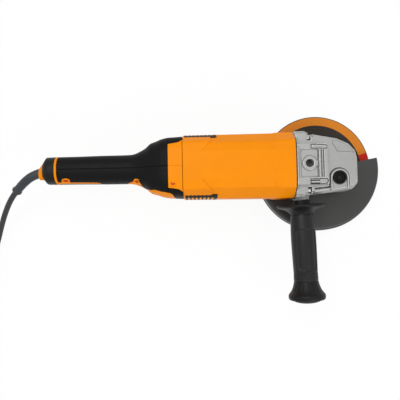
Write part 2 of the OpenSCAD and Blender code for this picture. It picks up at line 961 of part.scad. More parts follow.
module rear_bearing() {
    color("lightgray")
        on_motor(rear_bearing_x - rear_bearing_t)
            bearing(rear_bearing_r - fit, rear_shaft_r + fit, rear_bearing_t);
}

module armature_shaft() {
    far = crown_pitch_r + 1;
    near = crown_inner_r - 0.5;
    color("lightgray")
        union() {
            motor_rod(4.5, -far - 5.5, 5.5 - near);
            motor_rod(shaft_d / 2, plate_x - 1, -far - 5);
            motor_rod(shaft_d / 2 + 1, commutator_x - commutator_len - 3, plate_x + 2 - 0.5);
            motor_rod(rear_shaft_r, rear_bearing_x - rear_bearing_t - 0.5, commutator_x - commutator_len);
        }
}

module armature_core() {
    slots = 16;
    r = armature_d / 2;
    color("gray")
        difference() {
            motor_rod(r, core_end, core_x);
            motor_rod(shaft_d / 2 + 1 + fit, core_end - 1, core_x + 1);
            for (i = [0 : slots - 1])
                translate([core_end - 1, 0, motor_z])
                    rotate([i * 360 / slots, 0, 0])
                        translate([0, -1, r - 6])
                            cube([core_len + 2, 2, 8]);
        }
}

module armature_windings() {
    r = armature_d / 2 - 3;
    color("peru") {
        motor_ring(r, shaft_d / 2 + 1 + fit, core_x, core_x + winding_len);
        motor_ring(r, shaft_d / 2 + 1 + fit, core_end - winding_len, core_end);
    }
}

module commutator() {
    bars = 32;
    color("darkgoldenrod")
        difference() {
            motor_ring(commutator_d / 2, shaft_d / 2 + 1 + fit,
                commutator_x - commutator_len, commutator_x);
            for (i = [0 : bars - 1])
                translate([commutator_x - commutator_len - 1, 0, motor_z])
                    rotate([i * 360 / bars, 0, 0])
                        translate([0, -0.3, commutator_d / 2 - 1.2])
                            cube([commutator_len - 1, 0.6, 3]);
        }
}

module fan() {
    r = fan_d / 2;
    color("white")
        difference() {
            union() {
                motor_rod(r, fan_x - 2, fan_x);
                motor_rod(11, fan_x - fan_t, fan_x - 1);
                for (i = [0 : fan_blades - 1])
                    translate([fan_x - fan_t + 2, 0, motor_z])
                        rotate([i * 360 / fan_blades, 0, 0])
                            translate([0, -1, 10.5])
                                cube([fan_t - 3, 2, r - 11]);
            }
            motor_rod(shaft_d / 2 + 1 + fit, fan_x - fan_t - 1, fan_x + 1);
        }
}

module air_baffle() {
    color("black")
        motor_ring(bore_r - fit, fan_d / 2 - 9, baffle_x - baffle_t, baffle_x);
}

module stator_core() {
    color("gray")
        difference() {
            motor_rod(bore_r - fit, core_end, core_x);
            motor_rod(armature_d / 2 + air_gap, core_end - 1, core_x + 1);
            // slots for the field coils, left and right of the two poles
            for (side = [-1, 1])
                translate([core_end - 1, side * 29 - 7, motor_z - 16])
                    cube([core_len + 2, 14, 32]);
        }
}

module coil_end(x) {
    inner = armature_d / 2 + air_gap + 1.5;
    for (a = [0, 180])
        translate([x, 0, motor_z])
            rotate([0, 90, 0])
                rotate([0, 0, a - 60])
                    rotate_extrude(angle = 120)
                        translate([inner, 0])
                            square([11, 9]);
}

module field_coils() {
    color("peru") {
        coil_end(core_x);
        coil_end(core_end - 9);
    }
}

// Children drawn above the motor axis at the brushes; -1 turns them below it
module brush_side(side) {
    translate([brush_x, 0, motor_z])
        rotate([side > 0 ? 0 : 180, 0, 0])
            children();
}

module brush_holders() {
    color("black")
        for (side = [-1, 1])
            brush_side(side)
                difference() {
                    block([-6.5, -7.5, commutator_d / 2 + 2], [6.5, 7.5, holder_top]);
                    block([-4 - slack, -5 - slack, 10], [4 + slack, 5 + slack, bore_r - 4]);
                }
}

brush_len = 16;
brush_start = commutator_d / 2 + slack;
holder_top = sqrt(bore_r * bore_r - 7.5 * 7.5) - 0.05;

module brush(side) {
    color("dimgray")
        brush_side(side)
            block([-4, -5, brush_start], [4, 5, brush_start + brush_len]);
}

module brush_spring(side) {
    from = brush_start + brush_len;
    color("silver")
        brush_side(side)
            translate([0, 0, from])
                difference() {
                    cylinder(r = 3.2, h = bore_r - 4 - from);
                    translate([0, 0, -1])
                        cylinder(r = 2.4, h = bore_r);
                }
}

module brush_upper() { brush(1); }
module brush_lower() { brush(-1); }
module brush_spring_upper() { brush_spring(1); }
module brush_spring_lower() { brush_spring(-1); }

// ---------------------------------------------------------------- motor housing

vent_t = 2.2;
vent_x = housing_end + 2;

// The rear part of the housing's outside, from x0 to x1
module rear_outside(x0, x1) {
    motor_prism(housing_profile(housing_w_rear, housing_h), x0, x1);
}

// The space beside the housing where a vent lies, widened by a gap at its edges
module vent_space(side, gap) {
    difference() {
        translate([vent_x - gap, side * 49 - 11, motor_z - vent_h / 2 - gap])
            cube([vent_len + 2 * gap, 22, vent_h + 2 * gap]);
        translate([0, -side * vent_t, 0])
            rear_outside(housing_end - 1, housing_end + vent_len + 8);
    }
}

module vent_slots(side) {
    count = 7;
    pitch = vent_len / count;
    depth = housing_w_rear / 2 - bore_r + 8;
    for (i = [0 : count - 1])
        translate([
            vent_x + pitch * (i + 0.28), side * (bore_r - 6 + depth / 2) - depth / 2,
            motor_z - flank_h / 2 + 4
        ])
            cube([pitch * 0.44, depth, flank_h - 8]);
}

module motor_housing() {
    color("orange")
        difference() {
            union() {
                motor_prism(housing_profile(housing_w_rear + 1.4, housing_h),
                    housing_end + vent_len + 6, housing_x - band_len + 1);
                rear_outside(housing_end, housing_end + vent_len + 7);
                motor_prism(housing_profile(housing_w_front, housing_h), housing_x - band_len, housing_x);
            }
            difference() {
                motor_rod(bore_r, housing_end + end_wall, housing_x + 1);
                motor_rod(rear_bearing_r + 3, housing_end, rear_bearing_x);
            }
            motor_rod(rear_bearing_r, rear_bearing_x - rear_bearing_t, housing_x);
            motor_rod(rear_shaft_r + 2, housing_end - 1, housing_x);
            for (side = [-1, 1]) {
                vent_space(side, 0.1);
                vent_slots(side);
            }
            for (y = [-screw_y, screw_y])
                for (z = [-screw_z, screw_z])
                    translate([housing_x - 23, y, motor_z + z])
                        rotate([0, 90, 0])
                            cylinder(r = screw_r + 0.5 + fit, h = 24);
            // passages for the lead wires
            for (z = [-1, 1])
                translate([housing_end - 1, 0, motor_z + z * 27])
                    rotate([0, 90, 0])
                        cylinder(r = 7, h = end_wall + 2);
        }
}

module vent(side) {
    color("black")
        difference() {
            intersection() {
                vent_space(side, 0);
                rear_outside(housing_end, housing_end + vent_len + 7);
            }
            vent_slots(side);
        }
}

module vent_left() { vent(1); }
module vent_right() { vent(-1); }

// ---------------------------------------------------------------- rear handle

// A point of the cross-section at one station
function section_point(s, angle, inset) =
    let (
        w = s[1] - inset,
        h = s[2] - inset,
        e = 2 / s[3],
        c = max(abs(cos(angle)), 1e-9),
        t = max(abs(sin(angle)), 1e-9)
    )
    [-s[0] + handle_x, w * sign(cos(angle)) * pow(c, e), motor_z + h * sign(sin(angle)) * pow(t, e)];

// The angle at which the cross-section is as wide as the trigger slot
function slot_angle(s, inset) = -acos(pow(slot_half / (s[1] - inset), s[3] / 2));

function in_slot(s) = s[0] > slot_from && s[0] < slot_to;
function lowest_angle(s, inset) = in_slot(s) ? slot_angle(s, inset) : -90;
function is_soft(s) = s[0] >= soft_from && s[0] <= soft_to;

upper_steps = 7;
upper_angles = [for (i = [0 : upper_steps]) 90 - (90 - soft_low) * i / upper_steps];
lower_steps = 4;
lower_first = soft_low - 1;
function lower_angles(s, inset) =
    [for (i = [0 : lower_steps]) lower_first + (lowest_angle(s, inset) - lower_first) * i / lower_steps];

function reversed(list) = [for (i = [len(list) - 1 : -1 : 0]) list[i]];
function right_side(points) = [for (p = points) [p[0], -abs(p[1]), p[2]]];

// The C-shaped cross-section of the right handle shell
function shell_ring(s) =
    let (
        soft = is_soft(s) ? soft_t + soft_gap : 0,
        wall = soft_t + shell_t,
        outer = concat(
            [for (a = upper_angles) section_point(s, a, soft)],
            [for (a = lower_angles(s, 0)) section_point(s, a, 0)]
        ),
        inner = concat(
            [for (a = upper_angles) section_point(s, a, wall)],
            [for (a = lower_angles(s, wall)) section_point(s, a, wall)]
        )
    )
    right_side(concat(outer, reversed(inner)));

function soft_ring(s) =
    right_side(concat(
        [for (a = upper_angles) section_point(s, a, 0)],
        reversed([for (a = upper_angles) section_point(s, a, soft_t)])
    ));

// Beside each edge of the soft covering the shell has a step
function beside(s, place) = [place, s[1], s[2], s[3]];
first_soft = 2;
last_soft = len(stations) - 2;
shell_stations = concat(
    [stations[0], stations[1], beside(stations[first_soft], soft_from - 0.1)],
    [for (i = [first_soft : last_soft]) stations[i]],
    [beside(stations[last_soft], soft_to + 0.1), stations[last_soft + 1]]
);

module handle_screw_places() {
    for (p = handle_screw_spots)
        translate([handle_x - p[0], 0, motor_z + p[1]])
            children();
}

module collar_screw_places() {
    translate([handle_x - collar_screw_s, -collar_screw_y, motor_z + housing_h / 2 - 2.6])
        children();
}

// The right shell; the heads of the screws lie in it, and its mirror image takes their tips
module handle_shell(heads) {
    difference() {
        union() {
            skin([for (s = shell_stations) shell_ring(s)], folded = true);
            for (p = handle_screw_spots)
                rod_y(handle_boss_r, handle_x - p[0], motor_z + p[1], -p[2], 0);
            rod_y(trunnion_r + 2.3, trigger_pivot_x, trigger_pivot_z, -trunnion_y - 2, -slot_half);
        }
        rod_y(trunnion_r + fit, trigger_pivot_x, trigger_pivot_z, -trunnion_y - slack, 0);
        handle_screw_places()
            rod_y(screw_r + fit, 0, 0, -40, 1);
        if (heads)
            for (p = handle_screw_spots)
                rod_y(screw_head_r + slack, handle_x - p[0], motor_z + p[1], -40, -p[2]);
        collar_screw_places()
            translate([0, 0, -2.4])
                cylinder(r = 3.4 + fit, h = 10);
        collar_screw_places()
            translate([0, 0, -8])
                cylinder(r = screw_r + fit, h = 10);
    }
}

module soft_grip(heads) {
    difference() {
        skin([for (s = stations) if (is_soft(s)) soft_ring(s)], folded = true);
        if (heads)
            handle_screw_places()
                rod_y(screw_head_r + slack, 0, 0, -40, 0);
    }
}

module rear_handle_left() {
    color("orange")
        mirror([0, 1, 0])
            handle_shell(false);
}

module rear_handle_right() {
    color("orange")
        handle_shell(true);
}

module soft_grip_left() {
    color("black")
        mirror([0, 1, 0])
            soft_grip(false);
}

module soft_grip_right() {
    color("black")
        soft_grip(true);
}

module handle_screws() {
    color("dimgray") {
        for (p = handle_screw_spots)
            translate([handle_x - p[0], 0, motor_z + p[1]]) {
                rod_y(screw_r, 0, 0, -p[2] - 1, 12);
                rod_y(screw_head_r, 0, 0, -p[2] - 3, -p[2]);
            }
        collar_screw_places() {
            translate([0, 0, -2.4])
                cylinder(r = 3.4, h = 2.2);
            translate([0, 0, -6])
                cylinder(r = screw_r, h = 5);
        }
    }
}

module tail_cap() {
    s = stations[len(stations) - 1];
    r = 9.4;
    color("black")
        difference() {
            skin([
                for (t = [[0, 0], [tail_len - 5.5, 0.4], [tail_len, 7]])
                    [for (a = [0 : 15 : 345])
                        section_point([s[0] + t[0], s[1], s[2], s[3]], -a, t[1])]
            ]);
            motor_rod(r, tail_end - 1, grip_end - 3);
            motor_rod(grip_r - soft_t - shell_t, grip_end - 4, grip_end + 1);
        }
}

module cord_bush() {
    color("orange")
        difference() {
            union() {
                on_motor(bush_end)
                    cylinder(r1 = 10.4, r2 = 14.2, h = bush_len);
                motor_rod(9.3, tail_end - 0.1, grip_end - 3.2);
            }
            motor_rod(relief_r + 0.1, bush_end - 1, grip_end);
            on_motor(bush_end - 0.1)
                cylinder(r1 = relief_r + 1.9, r2 = relief_r, h = 4);
        }
}

// A strap that holds the bend protector's inner end, with its two screws
module cord_clamp() {
    x = grip_end + 5.5;
    low = motor_z + 7.6;
    color("black") {
        difference() {
            block([x, -13.6, low], [x + 9, 13.6, low + 4.6]);
            for (y = [-10.5, 10.5])
                translate([x + 4.5, y, motor_z])
                    cylinder(r = 1.6, h = 20);
        }
        for (y = [-10.5, 10.5])
            translate([x + 4.5, y, low]) {
                translate([0, 0, -6])
                    cylinder(r = 1.6 - fit, h = 11);
                translate([0, 0, 4.6])
                    cylinder(r = 2.8, h = 1.6);
            }
    }
}

// ---------------------------------------------------------------- trigger and switch

module trigger() {
    w = trigger_w / 2;
    low = motor_z - grip_rz - trigger_drop;
    x0 = trigger_pivot_x;
    x1 = x0 + trigger_len;
    color("black")
        union() {
            difference() {
                translate([0, w, 0])
                    rotate([90, 0, 0])
                        linear_extrude(trigger_w)
                            polygon(rounded([
                                [x0 - 6, trigger_pivot_z - 8.4], [x0 + 14, low + 5], [x1 - 12, low],
                                [x1, low + 3], [x1 - 1, trigger_top], [x0 + 12, trigger_top],
                                [x0 + 6, trigger_pivot_z + 4], [x0 - 6, trigger_pivot_z + 4]
                            ], [3, 14, 8, 3, 2, 3, 2, 3]));
                block([x1 - 30, -4, low - 1], [x1 - 6, 4, trigger_top + 1]);
                lock_off_pivot(lock_off_pivot_r + fit, lock_off_pivot_y + slack);
            }
            // trunnions that turn in the handle shells
            rod_y(trunnion_r, x0, trigger_pivot_z, -trunnion_y, trunnion_y);
        }
}

// The lever's pivot, across the slot in the trigger
module lock_off_pivot(r, half_len) {
    rod_y(r, trigger_pivot_x + trigger_len - 19, trigger_top - 4, -half_len, half_len);
}

module lock_off_lever() {
    x1 = trigger_pivot_x + trigger_len;
    low = motor_z - grip_rz - trigger_drop;
    color("orangered")
        union() {
            translate([0, 3.6, 0])
                rotate([90, 0, 0])
                    linear_extrude(7.2)
                        polygon(rounded([
                            [x1 - 26, low - 3], [x1 - 21, low - 3.4], [x1 - 15, trigger_top - 5],
                            [x1 - 15, trigger_top - 0.6], [x1 - 23, trigger_top - 0.6]
                        ], [1.5, 1.5, 2, 1, 1]));
            lock_off_pivot(lock_off_pivot_r, lock_off_pivot_y);
        }
}

module trigger_spring() {
    z0 = trigger_top + 0.05;
    color("silver")
        translate([spring_x, 0, z0])
            difference() {
                cylinder(r = 4, h = motor_z - 4 - z0);
                translate([0, 0, -1])
                    cylinder(r = 3, h = 60);
            }
}

module switch_body() {
    color("black")
        difference() {
            union() {
                translate([switch_x, -switch_w / 2, switch_z])
                    cube([switch_len, switch_w, switch_top - switch_z]);
                // seat of the trigger spring
                block([spring_x - 6, -6, motor_z - 4], [switch_x + 1, 6, motor_z + 4]);
                // ears held between the handle shells
                for (x = [switch_x + 6, switch_x + switch_len - 12])
                    block([x, -ear_y, motor_z - 2], [x + 6, ear_y, motor_z + 5]);
            }
            translate([plunger_x, 0, switch_z - 1])
                cylinder(r = 4 + 0.05, h = 15);
        }
}

module switch_plunger() {
    tip = 3;
    color("gray")
        translate([plunger_x, 0, plunger_bottom])
            union() {
                cylinder(r = 2, h = tip + 1);
                translate([0, 0, tip])
                    cylinder(r = 4, h = switch_z + 6 - plunger_bottom - tip);
            }
}

// ---------------------------------------------------------------- side handle

// Children drawn along +Z are turned to point out of the right side of the case
module side_frame() {
    translate([-side_x, 0, motor_z])
        rotate([0, 0, side_lean])
            rotate([90, 0, 0])
                children();
}

side_neck_r = 15;

module side_handle_stud() {
    color("lightgray")
        side_frame()
            union() {
                translate([0, 0, side_face - 17])
                    cylinder(r = handle_hole_d / 2 - fit, h = 19);
                translate([0, 0, side_face + 0.05])
                    cylinder(r = 11, h = 7, $fn = 6);
                translate([0, 0, side_face + 6])
                    cylinder(r = 7, h = 30);
            }
}

module side_handle_core() {
    base = side_face + 7.05;
    end = side_face + side_len;
    f = side_flange_d / 2;
    e = side_end_d / 2;
    color("black")
        side_frame()
            difference() {
                rotate_extrude()
                    polygon([
                        [0, side_face + 0.4], [13, side_face + 0.4], [13.5, base - 1], [13.5, base],
                        [f - 1, base], [f, base + 1.5], [f - 1.5, base + 4.5], [22, base + 8],
                        [side_neck_r + 3, base + 11], [side_neck_r, base + 14], [side_neck_r, end - 34],
                        [side_grip_d / 2 - 1, end - 32], [side_grip_d / 2 + 1, end - 22],
                        [e - 2, end - 15], [e, end - 12], [e, end - 5], [e - 5, end - 1.5],
                        [e - 14, end], [0, end - 2]
                    ]);
                translate([0, 0, side_face])
                    cylinder(r = 7 + fit, h = 36.2);
                translate([0, 0, side_face])
                    cylinder(r = 11 + slack, h = base - side_face);
            }
}

module side_handle_grip() {
    base = side_face + 7.05 + 14;
    end = side_face + side_len - 34;
    g = side_grip_d / 2;
    color("black")
        side_frame()
            rotate_extrude()
                polygon([
                    [side_neck_r + fit, base + 0.1], [g - 3.5, base + 0.1],
                    [g - 2.6, base + 6], [g - 0.6, base + 18],
                    [g, base + 32], [g - 0.4, base + 60], [g - 1, end - 0.1], [side_neck_r + fit, end - 0.1]
                ]);
}

// ---------------------------------------------------------------- cord

// A frame across the route at point i, and a tube swept along the route
function heading(path, i) =
    unit(path[min(i + 1, len(path) - 1)] - path[max(i - 1, 0)]);
function across(d) = unit(cross(d, [0, 0, 1]));
function tube_ring(path, i, r, sides) =
    let (d = heading(path, i), u = across(d), v = cross(u, d))
    [for (k = [0 : sides - 1]) path[i] + r * (u * cos(k * 360 / sides) + v * sin(k * 360 / sides))];

module tube(path, radii, sides = 12) {
    skin([for (i = [0 : len(path) - 1]) tube_ring(path, i, radii[i], sides)]);
}

// A smooth curve through the route's own points, with steps between each two
function curve_point(a, b, c, d, t) =
    0.5 * (2 * b + (c - a) * t + (2 * a - 5 * b + 4 * c - d) * pow(t, 2)
        + (3 * b - a - 3 * c + d) * pow(t, 3));
function curve(path, steps) =
    let (n = len(path) - 1)
    concat(
        [for (i = [0 : n - 1]) for (k = [0 : steps - 1])
            curve_point(path[max(i - 1, 0)], path[i], path[i + 1], path[min(i + 2, n)], k / steps)],
        [path[n]]
    );

module strain_relief() {
    path = curve(relief_path, 2);
    n = len(path) - 1;
    color("darkslategray")
        union() {
            tube(path, [for (i = [0 : n]) i >= n - 2 ? 8 : relief_r - 0.1 - 0.6 * i / n], 16);
            motor_rod(relief_r, bush_end + 0.4, grip_end + relief_inner);
        }
}

module cord() {
    path = curve(cord_route, 2);
    color("black") {
        tube(path, [for (p = path) cord_d / 2]);
        tube(plug_route, [for (p = plug_route) cord_d / 2]);
    }
}

module cord_coil() {
    inner = coil_outer_r - (coil_turns - 1) * cord_d - cord_d / 2;
    outer = coil_outer_r + cord_d / 2;
    color("black")
        translate([coil_centre[0], coil_centre[1], floor_z])
            rotate_extrude()
                translate([inner, 0])
                    square([outer - inner, coil_layers * cord_d]);
}

module plug_body() {
    w = plug_w / 2;
    color("black")
        difference() {
            translate([plug_start[0], plug_start[1], floor_z])
                linear_extrude(plug_t)
                    polygon(rounded([
                        [-6, 0], [6, 0], [7.5, 14], [w, 30],
                        [w, plug_len], [-w, plug_len], [-w, 30], [-7.5, 14]
                    ], [2, 2, 6, 5, 3, 3, 5, 6]));
            for (side = [-1, 1])
                rod_y(pin_root_r + fit, plug_start[0] + side * pin_gap / 2, floor_z + plug_t / 2,
                    plug_face - 8, plug_face + 1);
        }
}

module plug_pins() {
    color("lightgray")
        for (side = [-1, 1])
            translate([plug_start[0] + side * pin_gap / 2, plug_face, floor_z + plug_t / 2])
                union() {
                    rod_y(pin_root_r, 0, 0, -8, pin_shoulder);
                    rod_y(pin_r, 0, 0, pin_shoulder - 1, pin_len);
                }
}

gear_case();
case_screws();
bearing_cover();
cover_screws();
lower_bearing();
upper_bearing();
spindle_seal();
spindle();
crown_gear();
inner_flange();
grinding_disc();
clamp_nut();
lock_button();
lock_pin();
lock_spring();
guard_shell();
guard_band();
guard_screw();
bearing_plate();
front_bearing();
rear_bearing();
armature_shaft();
armature_core();
armature_windings();
commutator();
fan();
pinion();
pinion_nut();
air_baffle();
stator_core();
field_coils();
brush_holders();
brush_upper();
brush_lower();
brush_spring_upper();
brush_spring_lower();
motor_housing();
vent_left();
vent_right();
rear_handle_left();
rear_handle_right();
soft_grip_left();
soft_grip_right();
handle_screws();
tail_cap();
cord_bush();
cord_clamp();
trigger();
lock_off_lever();
trigger_spring();
switch_body();
switch_plunger();
side_handle_stud();
side_handle_core();
side_handle_grip();
strain_relief();
cord();
cord_coil();
plug_body();
plug_pins();
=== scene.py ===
import math

import bmesh
import bpy
import numpy as np
from mathutils import Euler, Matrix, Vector


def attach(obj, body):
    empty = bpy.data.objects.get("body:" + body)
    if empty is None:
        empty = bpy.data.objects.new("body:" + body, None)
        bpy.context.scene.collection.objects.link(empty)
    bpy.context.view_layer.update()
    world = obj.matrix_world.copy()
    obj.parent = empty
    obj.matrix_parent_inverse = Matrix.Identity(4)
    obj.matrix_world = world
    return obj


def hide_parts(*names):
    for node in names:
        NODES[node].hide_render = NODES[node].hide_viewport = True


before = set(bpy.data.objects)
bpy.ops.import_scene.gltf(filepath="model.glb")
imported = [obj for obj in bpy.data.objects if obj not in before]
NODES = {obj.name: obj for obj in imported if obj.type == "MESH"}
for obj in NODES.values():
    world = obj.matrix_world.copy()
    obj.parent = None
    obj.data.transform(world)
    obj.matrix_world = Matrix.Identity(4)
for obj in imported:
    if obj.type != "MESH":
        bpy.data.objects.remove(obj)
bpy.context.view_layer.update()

MM = 0.001
MOTOR_Z = 75.0  # height of the motor's axis
HOUSING_END = -225.0  # where the rear handle starts
HOUSING_H = 96.0
SCENE = bpy.context.scene
SCENE.view_settings.view_transform = "Standard"

# ------------ camera

camera = bpy.data.objects.new("camera", bpy.data.cameras.new("camera"))
SCENE.collection.objects.link(camera)
camera.data.lens = 43.2
camera.data.sensor_width = 36
camera.data.clip_start = 0.01
camera.location = (-0.20077, -0.08259, 0.82729)
camera.rotation_euler = Euler((math.radians(2.5), 0, math.radians(-1.12)))
SCENE.camera = camera

# ------------ mesh helpers


def link(obj):
    SCENE.collection.objects.link(obj)
    return obj


def mesh_piece(name, verts, faces, materials, smooth=True, sharp=None):
    """A mesh object from points in millimetres."""
    data = bpy.data.meshes.new(name)
    points = [tuple(float(c) * MM for c in v) for v in verts]
    data.from_pydata(points, [], [tuple(int(i) for i in f) for f in faces])
    for m in materials:
        data.materials.append(m)
    data.polygons.foreach_set("use_smooth", [smooth] * len(data.polygons))
    if sharp is not None and smooth:
        data.set_sharp_from_angle(angle=math.radians(sharp))
    data.update()
    return link(bpy.data.objects.new(name, data))


def outward(obj):
    """Welds the points that coincide and turns the faces outwards."""
    bm = bmesh.new()
    bm.from_mesh(obj.data)
    bmesh.ops.remove_doubles(bm, verts=bm.verts, dist=1e-7)
    bmesh.ops.recalc_face_normals(bm, faces=bm.faces)
    bm.to_mesh(obj.data)
    bm.free()
    return obj


def loft(rings, closed=True, caps=False):
    """Vertices and faces of a skin through rings of equal length."""
    n = len(rings[0])
    verts = [p for r in rings for p in r]
    faces = []
    for j in range(len(rings) - 1):
        for i in range(n if closed else n - 1):
            k = (i + 1) % n
            faces.append((j * n + i, j * n + k, (j + 1) * n + k, (j + 1) * n + i))
    if caps:
        faces.append(tuple(reversed(range(n))))
        faces.append(tuple((len(rings) - 1) * n + i for i in range(n)))
    return verts, faces


def skinned(name, rings, material, sharp, closed=True, caps=False):
    """A piece with its skin through rings."""
    verts, faces = loft(rings, closed, caps)
    return outward(mesh_piece(name, verts, faces, [material], sharp=sharp))


def revolve(profile, steps, first=0.0, turn=360.0, place=None):
    """Rings of a profile of (radius, height) points turned about an axis; place maps the result."""
    full = abs(turn) >= 360
    count = steps if full else steps + 1
    rings = []
    for k in range(count):
        a = math.radians(first + turn * k / steps)
        ring = [(r * math.cos(a), r * math.sin(a), z) for r, z in profile]
        rings.append([place(p) for p in ring] if place else ring)
    if full:
        rings.append(rings[0])
    return rings


def bevel(obj, width, segments, angle):
    m = obj.modifiers.new("edge", "BEVEL")
    m.width = width * MM
    m.segments = segments
    m.limit_method = "ANGLE"
    m.angle_limit = math.radians(angle)


def join(first, second):
    """The second piece becomes part of the first."""
    bpy.ops.object.select_all(action="DESELECT")
    first.select_set(True)
    second.select_set(True)
    bpy.context.view_layer.objects.active = first
    bpy.ops.object.join()


def add(obj, body, *replaced, slot=None):
    """Puts a piece on its body, in place of the CAD nodes named."""
    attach(obj, body)
    if replaced:
        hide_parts(*replaced)
    return obj


def smoothstep(a, b, x):
    t = np.clip((np.asarray(x, float) - a) / (b - a), 0, 1)
    return t * t * (3 - 2 * t)


def fine(points, steps):
    """A smooth curve through points of any dimension."""
    p = [np.array(q, float) for q in points]
    n = len(p) - 1
    out = []
    for i in range(n):
        a, b, c, d = p[max(i - 1, 0)], p[i], p[i + 1], p[min(i + 2, n)]
        for k in range(steps):
            t = k / steps
            square, cube = 2 * a - 5 * b + 4 * c - d, 3 * b - a - 3 * c + d
            out.append(0.5 * (2 * b + (c - a) * t + square * t ** 2 + cube * t ** 3))
    out.append(p[n])
    return out


# ------------ materials


def linear(rgb):
    return [((c / 255 + 0.055) / 1.055) ** 2.4 if c > 10 else c / 255 / 12.92 for c in rgb] + [1.0]


class Nodes:
    def __init__(self, name):
        self.material = bpy.data.materials.new(name)
        self.material.use_nodes = True
        self.tree = self.material.node_tree
        self.tree.nodes.clear()
        self.out = self.new("ShaderNodeOutputMaterial")
        self.shader = self.new("ShaderNodeBsdfPrincipled")
        self.wire(self.shader.outputs[0], self.out.inputs[0])
        self.coords = self.new("ShaderNodeTexCoord").outputs["Object"]

    def new(self, kind, **settings):
        node = self.tree.nodes.new(kind)
        for key, value in settings.items():
            setattr(node, key, value)
        return node

    def wire(self, a, b):
        self.tree.links.new(a, b)

    def noise(self, scale, detail=3.0, rough=0.5, stretch=None):
        coords = self.coords
        if stretch:
            mapping = self.new("ShaderNodeMapping")
            mapping.inputs["Scale"].default_value = stretch
            self.wire(coords, mapping.inputs[0])
            coords = mapping.outputs[0]
        node = self.new("ShaderNodeTexNoise")
        node.inputs["Scale"].default_value = scale
        node.inputs["Detail"].default_value = detail
        node.inputs["Roughness"].default_value = rough
        self.wire(coords, node.inputs["Vector"])
        return node.outputs["Fac"]

    def ramp(self, value, *stops):
        node = self.new("ShaderNodeValToRGB")
        while len(node.color_ramp.elements) < len(stops):
            node.color_ramp.elements.new(0.5)
        for element, (place, colour) in zip(node.color_ramp.elements, stops):
            element.position = place
            element.color = colour if len(colour) == 4 else list(colour) + [1.0]
        self.wire(value, node.inputs[0])
        return node.outputs[0]

    def mix(self, fac, a, b):
        node = self.new("ShaderNodeMix", data_type="RGBA")
        for index, value in ((0, fac), (6, a), (7, b)):
            if isinstance(value, bpy.types.NodeSocket):
                self.wire(value, node.inputs[index])
            else:
                node.inputs[index].default_value = value
        return node.outputs[2]

    def math(self, op, a, b=0.0, c=None):
        node = self.new("ShaderNodeMath", operation=op)
        for index, value in enumerate((a, b) if c is None else (a, b, c)):
            if isinstance(value, bpy.types.NodeSocket):
                self.wire(value, node.inputs[index])
            else:
                node.inputs[index].default_value = value
        return node.outputs[0]

    def bump(self, *layers):
        """Bump from (height, strength, distance in mm) layers."""
        last = None
        for height, strength, distance in layers:
            node = self.new("ShaderNodeBump")
            node.inputs["Strength"].default_value = strength
            node.inputs["Distance"].default_value = distance * MM
            self.wire(height, node.inputs["Height"])
            if last is not None:
                self.wire(last, node.inputs["Normal"])
            last = node.outputs[0]
        self.wire(last, self.shader.inputs["Normal"])

    def set(self, **values):
        for key, value in values.items():
            socket = self.shader.inputs[key.replace("_", " ")]
            if isinstance(value, bpy.types.NodeSocket):
                self.wire(value, socket)
            else:
                socket.default_value = value
        return self


def shade(colour, factor):
    return [min(1.0, c * factor) for c in colour[:3]] + [1.0]


def plain(name, rgb, rough, metal=0.0, grain=1500, depth=0.03, vary=0.08, wear_and_painted_light=0.0, scratch=0.0, gloss=0.5):
    """Moulded, cast or machined material: drift in colour, grain in the bump, gloss that varies; optionally
    edges lighter in spots, partly wear and partly painted highlight, and hollows darkened as painted shade.
    """
    n = Nodes(name)
    base = linear(rgb)
    drift = n.noise(28, 4)
    colour = n.ramp(drift, (0.3, shade(base, 1 - vary)), (0.7, shade(base, 1 + vary)))
    if wear_and_painted_light:
        # convex edges (high Pointiness) are lighter in noise spots: partly edge wear, partly painted
        # highlight
        edge = n.new("ShaderNodeNewGeometry").outputs["Pointiness"]
        high = n.ramp(edge, (0.5, [0, 0, 0]), (0.56, [1, 1, 1]))
        spots = n.ramp(n.noise(160, 5), (0.35, [0, 0, 0]), (0.65, [1, 1, 1]))
        edge_wear_and_highlight = n.math("MULTIPLY", n.math("MULTIPLY", high, spots), wear_and_painted_light)
        colour = n.mix(edge_wear_and_highlight, colour, shade(base, 1.9))
        # concave creases and hollows (low Pointiness) are darkened: painted shade
        low = n.ramp(edge, (0.44, [1, 1, 1]), (0.495, [0, 0, 0]))
        colour = n.mix(n.math("MULTIPLY", low, 0.85), colour, shade(base, 0.25))
    fine_grain = n.noise(grain, 2)
    rough_map = n.math("MULTIPLY_ADD", n.noise(90, 4), 0.18, rough - 0.09)
    n.set(Base_Color=colour, Roughness=rough_map, Metallic=metal)
    n.shader.inputs["Specular IOR Level"].default_value = gloss
    layers = [(fine_grain, 0.5, depth)]
    if scratch:
        layers.append((n.noise(700, 2, 0.6, stretch=(1, 1, 60)), 0.4, scratch))
    n.bump(*layers)
    return n.material


ORANGE = plain("orange", (240, 140, 8), 0.45, grain=2200, depth=0.02, vary=0.03, gloss=0.08)
# darker orange for the screw heads in the scoops: painted shade of the recesses
ORANGE_RECESS_SHADE = plain("orange_recess_shade", (176, 60, 6), 0.5, vary=0.05, gloss=0.2)
BLACK = plain("black", (18, 18, 18), 0.45, grain=1800, depth=0.05, vary=0.1, gloss=0.18)
SOFT = plain("soft", (14, 14, 14), 0.5, grain=1300, depth=0.09, vary=0.12, gloss=0.1)
GRIP = plain("grip", (20, 20, 22), 0.42, grain=1300, depth=0.09, vary=0.12, gloss=0.26)
